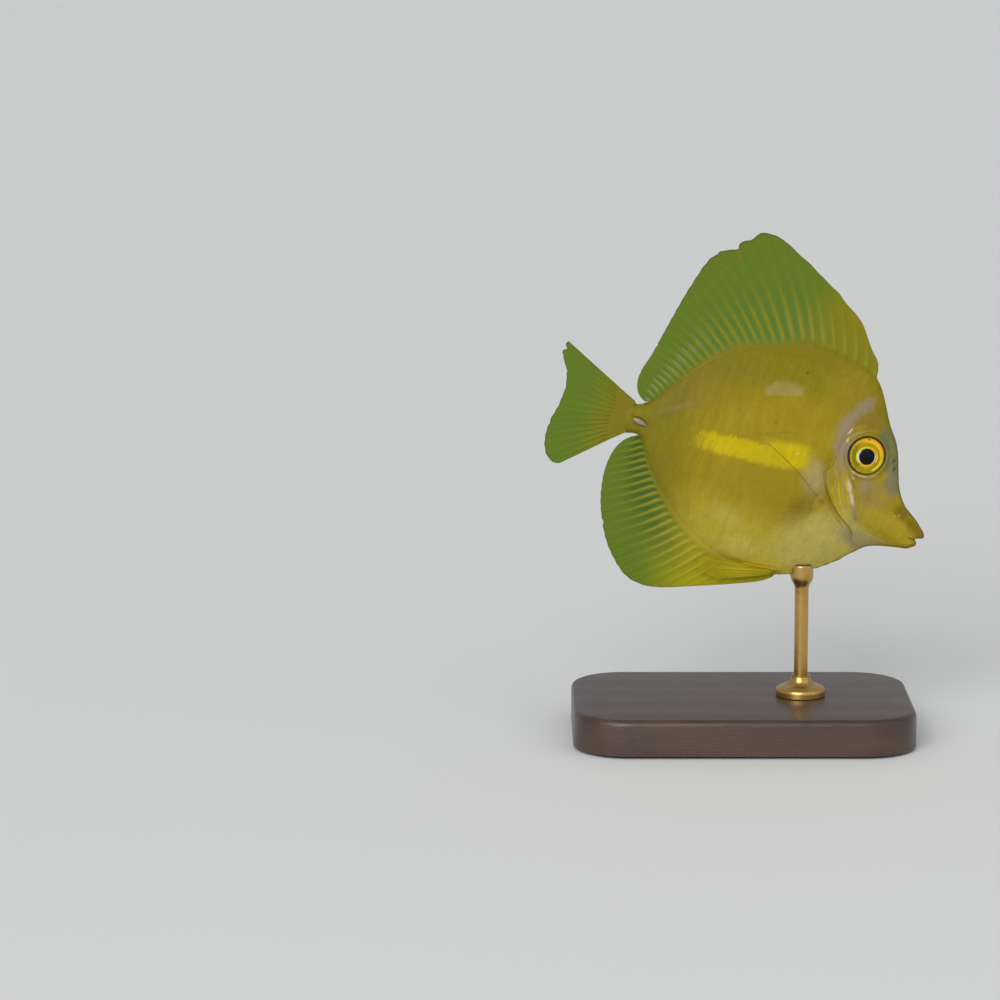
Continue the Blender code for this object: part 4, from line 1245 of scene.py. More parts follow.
def make_pelvic_paint(context):
    """Belly fin: golden yellow with olive gaps between its rays, clearer towards its tip."""
    fins = settings(context, "tang_fins")
    skin = settings(context, "tang_skin")
    paint = Paint("pelvic_web")
    level = level_place(context, paint)
    mask, out, number = ray_pattern(paint, fins.pelvic_rays, 1)
    web = paint.mix(paint.mix(fins.belly, fins.web, 0.6), fins.belly, mask)
    web = paint.mix(web, skin.belly, paint.fade(out, 0.05, 0.3) * 0.8)
    edge = paint.fade(number, 0.1, 0.4) * paint.fade(out, 0.1, 0.8)
    web = paint.mix(web, skin.rust, edge * 0.35)
    web = paint.mix(web, fins.gilt, paint.ease(out, 0.3, 0.9) * 0.7)
    alpha = 0.97 - 0.64 * paint.ease(out, 0.45, 0.95)
    return paint.finish(fin_shader(paint, web, alpha, mask, out, level))


EYE_MAP_SPAN = 6.0  # millimetres across the eye's own map
PUPIL_SHIFT = (-0.1, -0.07)
PUPIL_BLACK = (0.004, 0.005, 0.006)

# Arcs of the iris: colour, round which middle, radius, half width, direction, half angle, strength
IRIS_ARCS = [
    ("olive", "eye", 1.8, 0.35, 180, 52, 0.85),
    ("olive", "eye", 1.85, 0.2, -100, 35, 0.35),
    ("brown", "eye", 1.35, 0.22, 85, 42, 0.5),
    ("bright", "eye", 1.93, 0.28, 45, 60, 0.7),
    ("amber", "eye", 2.14, 0.17, 44, 50, 1.0),
    ("amber", "eye", 2.1, 0.14, 108, 26, 0.8),
    ("bright", "eye", 2.0, 0.22, -44, 28, 0.8),
    ("bright", "pupil", 1.2, 0.16, 95, 66, 0.6),
    ("amber", "pupil", 1.36, 0.2, 25, 38, 0.7),
    ("brown", "pupil", 1.62, 0.1, -25, 40, 0.75),
    ("bright", "pupil", 1.43, 0.13, -12, 22, 0.9),
    ("pearl_and_glint", "pupil", 1.13, 0.13, -18, 34, 0.85),
    # Painted glints left of the pupil, in the next two arcs
    ("pearl_and_glint", "pupil", 1.13, 0.12, 182, 46, 0.95),
    ("bright", "eye", 1.42, 0.13, 187, 24, 1.0),
    ("bright", "pupil", 1.22, 0.16, -88, 38, 0.7),
    ("ember", "pupil", 1.04, 0.09, -95, 52, 0.95),
    ("limbus", "eye", 2.08, 0.14, 83, 3.5, 0.9),
]


def make_iris_paint(context):
    """The iris and pupil, on the eye's own map, whose middle is (0.5, 0.5)."""
    eye = settings(context, "tang_eye")
    pose = settings(context, "tang_pose")
    paint = Paint("iris")
    uv = paint.out("ShaderNodeUVMap", {"uv_map": "UVMap"})
    spot = paint.out(
        "ShaderNodeMapping", {"vector_type": "POINT"},
        {"Vector": paint.vector("SUBTRACT", uv, (0.5, 0.5, 0.0)),
         "Rotation": (0.0, 0.0, -pose.nose_down), "Scale": (EYE_MAP_SPAN, EYE_MAP_SPAN, 0.0)})
    wobble = paint.noise(spot, 1.6, 3.0, 0.6) - 0.5
    stir = paint.noise(spot, 3.0, 2.0, 0.6) - 0.5
    about = {"eye": spot, "pupil": paint.vector("SUBTRACT", spot, (*PUPIL_SHIFT, 0.0))}
    reach = {middle: paint.measure("LENGTH", vector) for middle, vector in about.items()}
    pupil_mm = eye.pupil_radius / MM
    iris_mm = eye.iris_radius / MM

    fibres = paint.noise(paint.vector("NORMALIZE", about["pupil"]), 6.0, 4.0, 0.65)
    ground = paint.mix(paint.tinted(eye.iris, (0.62, 0.66, 0.5), 1.0), eye.iris, fibres)
    for tone, middle, radius, half_width, facing_deg, half_deg, strength in IRIS_ARCS:
        across, up, _ = paint.split(about[middle])
        facing = math.radians(facing_deg)
        toward = (across * math.cos(facing) + up * math.sin(facing)) / reach[middle]
        ends = [math.cos(math.radians(half_deg * share)) for share in (1.25, 0.6)]
        off = abs(reach[middle] + wobble * 0.14 + stir * 0.1 - radius)
        arc = paint.fade(off, 0.25 * half_width, 1.15 * half_width) * paint.ease(toward, *ends)
        ground = paint.mix(ground, getattr(eye, tone), arc * strength)
    rim = paint.ease(reach["eye"] + wobble * 0.06, iris_mm - 0.07, iris_mm + 0.05)
    ground = paint.mix(ground, eye.limbus, rim)
    hole = paint.fade(reach["pupil"] + stir * 0.05, pupil_mm - 0.05, pupil_mm + 0.03)
    ground = paint.mix(ground, PUPIL_BLACK, hole)
    return paint.finish(paint.principled(
        base_color=ground, roughness=0.4 - 0.05 * fibres, normal=paint.bump(fibres, 0.04, 0.4),
        specular_ior_level=0.1))


def make_cornea_paint():
    """The clear, wet dome over the iris."""
    paint = Paint("cornea")
    uv = paint.out("ShaderNodeUVMap", {"uv_map": "UVMap"})
    spot = paint.vector("SUBTRACT", uv, (0.5, 0.5, 0.0))
    spot = paint.vector("MULTIPLY", spot, (EYE_MAP_SPAN, EYE_MAP_SPAN, 0.0))
    rim = paint.ease(paint.measure("LENGTH", spot), 2.28, 2.42)
    tone = paint.mix((0.012, 0.013, 0.012), (0.02, 0.018, 0.02), rim)
    return paint.finish(paint.principled(
        base_color=tone, roughness=0.06 + 0.1 * rim, alpha=0.06 + 0.14 * rim,
        specular_ior_level=0.35))


def make_blade_paint(context):
    """Pale horn, a little yellow at its root."""
    skin = settings(context, "tang_skin")
    paint = Paint("blade_horn")
    level = level_place(context, paint)
    x = paint.split(level)[0]
    grain = paint.grain(level, (0.8, 2.0, 5.0), 2.0, 3.0, 0.6)
    tone = paint.mix(skin.horn, skin.horn_dark, grain)
    tone = paint.mix(tone, skin.flank, paint.fade(x, -13.9, -13.2) * 0.55)
    return paint.finish(paint.principled(
        base_color=tone, roughness=0.3 + 0.1 * grain, normal=paint.bump(grain, 0.02, 0.5),
        coat_weight=0.2, coat_roughness=0.2))


def make_wood_paint(context):
    """Stained, waxed wood with its grain along the base."""
    stage = settings(context, "tang_stage")
    paint = Paint("stained_wood")
    place = paint.place_mm()
    sway = paint.grain(place, (0.03, 0.12, 0.12), 1.0, 2.0, 0.5)
    _, y, z = paint.split(place)
    rings = (y * 0.9 + z * 0.5 + sway * 9.0).sine() * 0.5 + 0.5
    pores = paint.grain(place, (0.35, 6.0, 6.0), 1.0, 3.0, 0.65)
    cloud = paint.grain(place, (0.05, 0.2, 0.2), 1.0, 2.0, 0.5)
    tone = paint.mix(stage.wood, stage.wood_grain, rings * 0.5 + cloud * 0.2)
    tone = paint.mix(tone, stage.wood_grain, paint.ease(pores, 0.56, 0.7) * 0.75)
    tone = paint.clouded(tone, 0.8, 1.25, cloud, 0.8)
    return paint.finish(paint.principled(
        base_color=tone, roughness=0.36 + 0.14 * pores,
        normal=paint.bump(paint.fade(pores, 0.5, 0.72), 0.05, 0.4), coat_weight=0.3,
        coat_roughness=0.22))


def make_brass_paint(context):
    """Brushed brass, turned, with fine rings and a little tarnish."""
    stage = settings(context, "tang_stage")
    paint = Paint("turned_brass")
    place = paint.place_mm()
    rings = paint.grain(place, (0.4, 0.4, 14.0), 1.0, 2.0, 0.6)
    stain = paint.noise(place, 0.35, 4.0, 0.6)
    tarnish = paint.tinted(stage.brass, (0.62, 0.52, 0.4), 1.0)
    tone = paint.mix(stage.brass, tarnish, paint.ease(stain, 0.48, 0.72) * 0.6)
    return paint.finish(paint.principled(
        base_color=tone, metallic=1.0, roughness=0.2 + 0.14 * stain + 0.06 * rings,
        normal=paint.bump(rings, 0.01, 0.35)))


def make_felt_paint(name, tone):
    """Short wool felt."""
    paint = Paint(name)
    wool = paint.noise(paint.place_mm(), 7.0, 4.0, 0.7)
    return paint.finish(paint.principled(
        base_color=paint.clouded(tone, 0.6, 1.5, wool), roughness=0.9,
        normal=paint.bump(wool, 0.06, 0.8), sheen_weight=0.3))


def make_floor_paint(context):
    """Plain matt floor with the faintest cloudiness."""
    stage = settings(context, "tang_stage")
    paint = Paint("plain_floor")
    cloud = paint.noise(paint.place(), 3.0, 2.0, 0.5)
    tone = paint.clouded(stage.floor, 0.97, 1.02, cloud)
    return paint.finish(paint.principled(base_color=tone, roughness=0.75 + 0.1 * cloud))


# Pieces


def halve_map(made):
    """Keeps to the left half of the map, so that the mirrored flank gets the right half."""
    layer = made.data.uv_layers.active
    places = np.empty(len(layer.data) * 2)
    layer.data.foreach_get("uv", places)
    places[::2] *= 0.5
    layer.data.foreach_set("uv", places)


def build_skin(context):
    """One skin from lips to tail stalk: a grid shaped as one flank, and mirrored."""
    coat = settings(context, "tang_skin").coat_depth / MM
    surface = flank_surface(coat)
    made = add_grid("skin", *surface.shape[:2])
    shape_grid(made, surface)
    halve_map(made)
    mirror = made.modifiers.new("other_flank", "MIRROR")
    mirror.use_mirror_u = True
    mirror.use_axis = (False, True, False)
    mirror.merge_threshold = SEAM_MERGE
    apply_all(made)
    outside_faces(made, merge_mm=SEAM_MERGE)
    material = make_skin_paint(context, "silky_skin")
    settle(context, made, material, ("head", "trunk", "tail_stalk"), 75.0)


# A scale's rim, as (along, across, height) from its root round to the root again
SCALE_OUTLINE = [
    (-0.15, 0.0, -0.3), (0.25, 0.5, -0.1), (0.8, 0.42, 0.6), (1.0, 0.0, 1.0), (0.8, -0.42, 0.6),
    (0.25, -0.5, -0.1),
]
SCALE_CREST = (0.5, 0.0, 1.15)
SCALE_FOOT = (0.35, 0.0, -1.6)
SCALE_SPAN = (1.6, 1.36)  # length and width of a scale, beside its pitch
SCALE_ROW_STEP = 0.86  # distance between two rows of scales, beside the pitch
HEAD_SCALE = 0.78  # how large the scales of the head are beside those of the trunk
SMALLEST_SCALE = 0.35
BARE_SNOUT = 20.6  # length from which the snout has no scales
SCALE_LEAN = 0.06
SCALE_VARIETY = (0.07, 0.06)  # how much the lengths and the widths vary
SCALE_TONE_VARIETY = 0.22
SCALE_MAP_SPAN = 0.0024  # size of a scale on the unwrapped flank
SCALE_DICE = 38


def scale_roots(surface, pitch):
    """Column and row of each scale's root on a flank, and how large the scale may be."""
    columns, rows = surface.shape[:2]
    middle = rows // 2
    along = runs(surface[:, middle])
    head_start = TRUNK_COLUMNS + len(GILL_STEPS) - 1
    roots = []
    station = pitch
    number = 0
    while station < along[-1]:
        column = float(np.interp(station, along, np.arange(columns)))
        on_head = column > head_start
        size = pitch * (HEAD_SCALE if on_head else 1.0)
        low = int(column)
        blend = column - low
        girth = surface[low] * (1 - blend) + surface[min(low + 1, columns - 1)] * blend
        run = runs(girth)
        offset = 0.5 * size * (number % 2)
        reach = np.arange(-int(run[middle] / size), int((run[-1] - run[middle]) / size))
        for place in run[middle] + offset + reach * size:
            row = float(np.interp(place, run, np.arange(rows)))
            if 1.0 < row < rows - 2.0:
                roots.append((column, row, size))
        station += size * SCALE_ROW_STEP
        number += 1
    return np.array(roots)


def sample(surface, column, row):
    """Points of a grid at fractions of its columns and rows."""
    i = np.clip(column.astype(int), 0, surface.shape[0] - 2)
    j = np.clip(row.astype(int), 0, surface.shape[1] - 2)
    u = (column - i)[:, None]
    v = (row - j)[:, None]
    low = surface[i, j] * (1 - u) + surface[i + 1, j] * u
    high = surface[i, j + 1] * (1 - u) + surface[i + 1, j + 1] * u
    return low * (1 - v) + high * v


def unit(vectors):
    return vectors / np.maximum(np.linalg.norm(vectors, axis=-1, keepdims=True), 1e-9)


def scale_sizes(spots, gill_column, column):
    """How large each scale is beside its pitch: small by eye, gill, blade and snout, or none."""
    to_eye = np.linalg.norm(spots - EYE_CENTRE, axis=-1)
    to_snout = BARE_SNOUT - spots[:, 0] - 0.25 * (spots[:, 1] + 8.0)
    to_gill = np.abs(column - gill_column)
    to_blade = np.linalg.norm((spots - BLADE_CENTRE) * (0.55, 1.2), axis=-1)
    to_end = spots[:, 0] - STALK_END
    to_breast_fin = away(spots, smooth_line(PECTORAL_ROOT))
    size = np.ones(len(spots))
    for distance, bare, grows in (
            (to_eye, 3.15, 0.9), (to_snout, 0.0, 1.6), (to_gill, 2.0, 3.0), (to_blade, 0.75, 0.3),
            (to_end, 0.35, 0.8), (to_breast_fin, 0.5, 0.4)):
        size *= ramp(distance, bare, grows)
    return np.where(size > SMALLEST_SCALE, 0.55 + 0.45 * size, 0.0)


def build_scales(context):
    """Small, low scales on each flank, each one closed, with its free edge towards the tail."""
    skin = settings(context, "tang_skin")
    surface = flank_surface(skin.coat_depth / MM)
    columns, rows = surface.shape[:2]
    roots = scale_roots(surface, skin.scale_pitch / MM)
    column, row, pitch = roots.T
    base = sample(surface, column, row)
    behind = sample(surface, np.maximum(column - 1.0, 0.0), row)
    ahead = sample(surface, column + 1.0, row)
    above = sample(surface, column, row + 1.0)
    under = sample(surface, column, row - 1.0)
    gill_column = TRUNK_COLUMNS + 0.5 * len(GILL_STEPS)
    share = scale_sizes(base[:, [0, 2]], gill_column, column)
    dice = np.random.default_rng(SCALE_DICE)
    jitter = dice.normal(size=(len(roots), 3))
    kept = share > 0.0
    backwards = unit(behind - ahead)
    upwards = unit(above - under)
    outwards = unit(np.cross(backwards, upwards))
    outwards *= np.sign(outwards[:, 1:2] + 1e-9)
    upwards = unit(np.cross(outwards, backwards))
    lean = SCALE_LEAN * jitter[:, 0:1]
    along_axis = unit(backwards + lean * upwards)
    across_axis = unit(upwards - lean * backwards)
    long, wide = (
        (pitch * share * span * (1.0 + variety * dice_row))[:, None]
        for span, variety, dice_row in zip(SCALE_SPAN, SCALE_VARIETY, jitter[:, 1:].T)
    )
    rise = skin.scale_rise / MM * (0.6 + 0.4 * share)[:, None]
    corners = np.array([*SCALE_OUTLINE, SCALE_CREST, SCALE_FOOT])
    points = (
        base[:, None]
        + corners[None, :, 0:1] * (long * along_axis)[:, None]
        + corners[None, :, 1:2] * (wide * across_axis)[:, None]
        + corners[None, :, 2:3] * (rise * outwards)[:, None]
    )[kept]
    root_map = np.column_stack([column / (columns - 1), row / (rows - 1)]) * 0.98 + 0.01
    tones = 0.5 + SCALE_TONE_VARIETY * dice.normal(size=len(roots))
    tones = np.clip(tones, 0.0, 1.0)[kept]
    material = make_skin_paint(context, "scaled_skin", tinted_by_scale=True)
    rim = len(SCALE_OUTLINE)
    faces = [(k, (k + 1) % rim, rim) for k in range(rim)]
    faces += [((k + 1) % rim, k, rim + 1) for k in range(rim)]
    for side, name in ((1.0, "scales_left"), (-1.0, "scales_right")):
        each = np.array(faces if side > 0.0 else [face[::-1] for face in faces])
        made = join_copies(name, points * (1.0, side, 1.0), each)
        give_tone(made, tones, len(corners))
        map_scales(made, root_map[kept], corners[:, :2], each)
        settle(context, made, material, smooth_deg=50.0)


def join_copies(name, points, each):
    """One mesh of many small closed shapes that have the same faces."""
    count, corners = points.shape[:2]
    steps = np.arange(count)[:, None, None] * corners
    faces = (each[None] + steps).reshape(-1, 3)
    mesh = bpy.data.meshes.new(name)
    mesh.vertices.add(count * corners)
    mesh.vertices.foreach_set("co", points.reshape(-1))
    mesh.loops.add(len(faces) * 3)
    mesh.loops.foreach_set("vertex_index", faces.reshape(-1))
    mesh.polygons.add(len(faces))
    mesh.polygons.foreach_set("loop_start", np.arange(len(faces)) * 3)
    mesh.update(calc_edges=True)
    mesh.validate()
    made = bpy.data.objects.new(name, mesh)
    bpy.context.scene.collection.objects.link(made)
    return made


def give_tone(made, tones, corners):
    attribute = made.data.attributes.new("tone", "FLOAT", "POINT")
    attribute.data.foreach_set("value", np.repeat(tones, corners))


def map_scales(made, roots, corners, each):
    """Each scale is a small patch of the map, at its root's place on the unwrapped flank."""
    layer = made.data.uv_layers.new(name="OFBake")
    local = (corners - (0.45, 0.0)) * SCALE_MAP_SPAN
    loops = each.reshape(-1)
    places = roots[:, None] + local[loops][None]
    layer.data.foreach_set("uv", places.reshape(-1))


def build_eyes(context):
    """Each eye: a ball with the iris, and a clear dome over it."""
    eye = settings(context, "tang_eye")
    plain = flank_surface(0.0, plain=True)
    iris_paint = make_iris_paint(context)
    cornea_paint = make_cornea_paint()
    for side, word in SIDES:
        seat = seat_frame(surface_tree(plain, side), EYE_CENTRE, ORBIT_RADIUS, side)
        for name, profile, material, replaced in (
                ("eyeball", iris_profile(), iris_paint, (f"eye_{word}",)),
                ("cornea", cornea_profile(eye.cornea_rise / MM), cornea_paint, ())):
            made = turned(f"{name}_{word}", profile, EYE_STEPS)
            map_eye(made, side)
            made.data.transform(seat)
            settle(context, made, material, replaced)


def iris_profile():
    """From the back of the ball over its edge and iris to the swell of the lens."""
    back = [(0.5, -1.0), (1.6, -0.95), (2.2, -0.8), (BALL_RADIUS, -0.45), (BALL_RADIUS, -0.2)]
    front = [(2.38, 0.02), (2.25, 0.12), (2.0, 0.18), (1.7, 0.22), (1.4, 0.25), (1.2, 0.3)]
    lens = [(1.06, 0.38), (0.9, 0.45), (0.65, 0.52), (0.35, 0.56), (0.08, 0.57)]
    return back + front + lens


def cornea_profile(rise):
    """A shallow dome with a thin wall's worth of depth."""
    steps = np.linspace(0.0, 1.0, 12)
    dome = [
        (DOME_RADIUS * math.cos(t * DOME_TURN), 0.06 + (rise + 0.22) * math.sin(t * DOME_TURN))
        for t in steps
    ]
    return [(0.6, 0.03), (2.0, 0.03), (2.36, 0.03)] + dome


def map_eye(made, side):
    """The eye seen straight on, as its map: X forwards and Y up on both sides."""
    layer = made.data.uv_layers.active or made.data.uv_layers.new(name="UVMap")
    layer.name = "UVMap"
    places = np.empty(len(made.data.vertices) * 3)
    made.data.vertices.foreach_get("co", places)
    places = places.reshape(-1, 3)[:, :2] / EYE_MAP_SPAN
    if side > 0:
        places[:, 1] *= -1.0
    corners = np.empty(len(made.data.loops), dtype=int)
    made.data.loops.foreach_get("vertex_index", corners)
    layer.data.foreach_set("uv", (places[corners] + 0.5).reshape(-1))


def ray_ridges(number, out, spines):
    """1 on the crest of a ray and 0 on the web, for arrays of ray numbers and shares out."""
    off = np.abs(number - np.round(number))
    soft = ease(number, spines - 0.6, spines - 0.4)
    off = np.abs(off - BRANCH_SPREAD * soft * ease(out, BRANCH_FROM, 1.0))
    width = RAY_HALF * (1.0 - (1.0 - RAY_TAPER) * out)
    return np.exp(-((off / width) ** 2))


def nearest_share(line, spot):
    """How far along a line the point is that lies nearest to a spot, from 0 to 1."""
    run = runs(line)
    return run[np.linalg.norm(line - spot, axis=1).argmin()] / run[-1]


def fan_shares(root, edge, fan, shares):
    """How far along its edge a fin's rays end, from pairs of root length and edge spot."""
    run = runs(root) / runs(root)[-1]
    starts = [np.interp(-start, -root[:, 0], run) for start, _ in fan]
    ends = [nearest_share(edge, spot) for _, spot in fan]
    return np.interp(shares, starts, ends)


def build_fin(context, name, root, edge, rays, spines, level, material, replaced, fan=None,
              nicks=(), rows=56, per_ray=12, bow=0.02, sway=0.0, crowd=0.0, flare=0.0,
              flare_out=0.16, slight=1.0):
    """A fin: a grid laid between its root and its edge, thickened more along its rays.

    Level gives how far each spot lies from the middle plane. Bow bends the rays, sway makes the
    web wave, crowd draws the rear rays together, flare thickens the root to meet the body as far
    out as flare_out, and slight makes web and rays thinner.
    """
    fins = settings(context, "tang_fins")
    columns = (rays - 1) * per_ray + 1
    number = np.linspace(0.0, rays - 1.0, columns)
    shares = number / (rays - 1.0)
    shares = shares + crowd * shares * (1.0 - shares)
    start = spread(root, shares)
    edge_shares = fan_shares(root, edge, fan, shares) if fan else shares
    tip = spread(edge, edge_shares)
    reach = np.linalg.norm(tip - start, axis=1)
    short = SCALLOP * (0.5 - 0.5 * np.cos(2.0 * math.pi * number))
    edge_run = runs(edge)
    for spot, depth, half_width in nicks:
        nearest = np.linalg.norm(edge - spot, axis=1).argmin()
        off = edge_shares * edge_run[-1] - edge_run[nearest]
        short = short + depth * np.clip(1.0 - np.abs(off) / half_width, 0.0, 1.0) ** 0.7 / reach
    out = np.linspace(0.0, 1.0, rows)
    run = out[None, :] * (1.0 - short[:, None] * out[None, :] ** 2)
    side_spots = start[:, None] + (tip - start)[:, None] * run[..., None]
    turn = np.stack([-(tip - start)[:, 1], (tip - start)[:, 0]], axis=-1)[:, None]
    bend = bow * (1.0 - 0.8 * shares)
    side_spots = side_spots - turn * np.sin(math.pi * out)[None, :, None] * bend[:, None, None]
    wave = np.sin(number * SWAY_TURN + SWAY_START) + SWAY_QUICK * np.sin(number * SWAY_QUICK_TURN)
    wave = sway * wave[:, None] * out[None, :] ** 2
    across = level(side_spots, np.broadcast_to(out, side_spots.shape[:2])) + wave
    made = add_grid(name, columns, rows)
    shape_grid(made, np.stack([side_spots[..., 0], across, side_spots[..., 1]], axis=-1))

    ridges = ray_ridges(number[:, None], out[None, :], spines)
    spine = number[:, None] < spines - 0.5
    full = slight * np.where(spine, fins.spine_thickness, fins.ray_thickness) / MM
    web = slight * fins.web_thickness / MM
    tall = web + (full - web) * ridges * (1.0 - RAY_THINS * ease(out[None, :], 0.05, 0.95))
    tall = tall * (1.0 - EDGE_THINS * ease(out[None, :], 0.93, 1.0))
    tall = np.maximum(tall, flare * (1.0 - ease(out[None, :], 0.0, flare_out)))
    thickest = tall.max()
    group = made.vertex_groups.new(name="thickness")
    for index, weight in enumerate((tall / thickest).T.reshape(-1)):
        group.add([index], float(weight), "REPLACE")
    plump = made.modifiers.new("plump", "SOLIDIFY")
    plump.thickness = thickest
    plump.offset = 0.0
    plump.vertex_group = "thickness"
    plump.thickness_vertex_group = 0.0
    apply_all(made)
    made.vertex_groups.clear()
    outside_faces(made)
    settle(context, made, material, replaced, 60.0)


def build_median_fins(context):
    """Back, anal and tail fin, with roots sunk in the body."""
    fins = settings(context, "tang_fins")

    def flat(spots, out):
        return np.zeros(spots.shape[:2])

    kinds = (
        ("dorsal", beside(stretch(BACK, *DORSAL_ROOT), MEDIAN_SUNK), DORSAL_EDGE,
         fins.dorsal_rays, fins.dorsal_spines,
         dict(front_at=(0.35, 12.0, -1.5, 7.0), fore=fins.web_front, gap=fins.gap, glint=0.5),
         dict(fan=DORSAL_FAN, nicks=DORSAL_NICKS, rows=72, bow=0.04, sway=0.1,
              crowd=DORSAL_CROWD, flare=1.1)),
        ("anal", beside(stretch(BELLY, *ANAL_ROOT), -MEDIAN_SUNK), ANAL_EDGE,
         fins.anal_rays, fins.anal_spines,
         dict(front_at=(0.3, 16.0, -9.5, -0.5), fore=fins.gilt, gap=fins.dusk,
              foot=(-0.05, 0.03)),
         dict(fan=ANAL_FAN, nicks=ANAL_NICKS, rows=60, bow=-0.03, sway=0.08,
              crowd=ANAL_CROWD, flare=1.1)),
        ("tail", smooth_line(TAIL_ROOT), TAIL_EDGE, fins.tail_rays, 0,
         dict(front_at=(0.0, 0.0, -21.0, -14.0), fore=fins.web_front, gap=fins.web_front,
              keen=0.3, foot=(0.06, 0.42)),
         dict(nicks=TAIL_NICKS, rows=64, per_ray=16, bow=0.0, sway=0.14, flare=1.25,
              flare_out=0.34)),
    )
    for kind, root, edge, rays, spines, looks, form in kinds:
        material = make_median_paint(context, f"{kind}_web", rays, spines, **looks)
        build_fin(
            context, f"{kind}_web", root, smooth_line(edge), rays, spines, flat, material,
            (f"{kind}_fin",), **form)


def build_paired_fins(context):
    """Breast and belly fins, laid back along the flanks."""
    fins = settings(context, "tang_fins")
    plain = flank_surface(0.0, plain=True)
    kinds = {
        "pectoral": (PECTORAL_ROOT, PECTORAL_EDGE, fins.pectoral_rays, 1.2, 0.0, 0.035, 0.55,
                     make_pectoral_paint(context)),
        "pelvic": (PELVIC_ROOT, PELVIC_EDGE, fins.pelvic_rays, 0.3, 1.2, -0.02, 1.0,
                   make_pelvic_paint(context)),
    }
    for kind, (root, edge, rays, lift, clear, bow, slight, material) in kinds.items():
        for side, word in SIDES:
            tree = surface_tree(plain, side)

            def along_flank(spots, out):
                level = np.empty(out.shape)
                for place in np.ndindex(out.shape):
                    hit = skin_side(tree, spots[place], side)
                    skin = abs(hit.y) if hit else 0.0
                    free = ease(out[place], 0.0, 0.15)
                    off = skin - PAIRED_SUNK + free * (PAIRED_SUNK + PAIRED_CLEAR)
                    off = max(off, clear * free, 0.3 * clear)
                    level[place] = side * (off + lift * out[place])
                return level

            build_fin(
                context, f"{kind}_web_{word}", smooth_line(root), smooth_line(edge), rays, 1,
                along_flank, material, (f"{kind}_fin_{word}",), rows=44, per_ray=10, bow=bow,
                slight=slight)


def build_blades(context):
    """The pale blade on each side of the tail stalk: a ball drawn out to a forward point."""
    plain = flank_surface(0.0, plain=True)
    material = make_blade_paint(context)
    for side, word in SIDES:
        skin = abs(skin_side(surface_tree(plain, side), BLADE_CENTRE, side).y)
        deselect()
        bpy.ops.mesh.primitive_uv_sphere_add(
            segments=32, ring_count=18, radius=1.0, enter_editmode=True)
        made = named(f"scalpel_{word}")
        bpy.ops.transform.resize(value=(BLADE_HALF_LENGTH, BLADE_HALF_DEPTH, BLADE_HALF_HEIGHT))
        bpy.ops.object.mode_set(mode="OBJECT")
        for vertex in made.data.vertices:
            share = vertex.co.x / BLADE_HALF_LENGTH
            point = 1.0 - BLADE_POINT * max(share, 0.0) ** 1.5
            vertex.co.z = vertex.co.z * point - BLADE_HOOK * max(share, 0.0) ** 2
            vertex.co.y *= point
        lean = Matrix.Rotation(math.radians(BLADE_TILT_DEG), 4, "Y")
        out = side * (skin + BLADE_STANDS_OUT)
        made.data.transform(Matrix.Translation((BLADE_CENTRE[0], out, BLADE_CENTRE[1])) @ lean)
        settle(context, made, material, (f"tail_blade_{word}",))


def select_edges(made, wanted):
    """Selects the edges whose two end points pass a test."""
    bpy.ops.mesh.select_mode(type="EDGE")
    bpy.ops.mesh.select_all(action="DESELECT")
    bpy.ops.object.mode_set(mode="OBJECT")
    spots = [vertex.co for vertex in made.data.vertices]
    for edge in made.data.edges:
        edge.select = wanted(*(spots[index] for index in edge.vertices))
    bpy.ops.object.mode_set(mode="EDIT")


def rounded_slab(name, size, low, corner, brim):
    """A slab with rounded corners and rounded upper edges, standing on a height."""
    deselect()
    bpy.ops.mesh.primitive_cube_add(size=1.0, enter_editmode=True)
    made = named(name)
    bpy.ops.transform.resize(value=size)
    bpy.ops.transform.translate(value=(0.0, 0.0, low + size[2] / 2))
    select_edges(made, lambda a, b: (a.xy - b.xy).length < 0.001)
    bpy.ops.mesh.bevel(offset=corner, segments=20, affect="EDGES")
    select_edges(made, lambda a, b: min(a.z, b.z) > low + 0.9 * size[2])
    bpy.ops.mesh.bevel(offset=brim, segments=6, affect="EDGES")
    bpy.ops.object.mode_set(mode="OBJECT")
    return made


def belly_above(tree, x, y):
    """Height of the belly straight above a spot of the base, on the stand."""
    return tree.ray_cast(Vector((x, y, BASE_SIZE[2])), Vector((0.0, 0.0, 1.0)))[0].z


def stand_tree(context):
    """A search tree of the whole plain body, tipped down on the stand, in millimetres."""
    pose = settings(context, "tang_pose")
    tip = Matrix.Translation((pose.shift / MM, 0.0, pose.height / MM))
    tip = tip @ Matrix.Rotation(pose.nose_down, 4, "Y")
    half = flank_surface(0.0, plain=True)
    columns, rows = half.shape[:2]
    flanks = np.concatenate([half.reshape(-1, 3), (half * (1.0, -1.0, 1.0)).reshape(-1, 3)])
    points = [tip @ Vector(point) for point in flanks]
    quads = grid_quads(columns, rows) + grid_quads(columns, rows, columns * rows)
    return BVHTree.FromPolygons(points, quads), tip @ Vector((ROD_SPOT[0], 0.0, ROD_SPOT[1]))


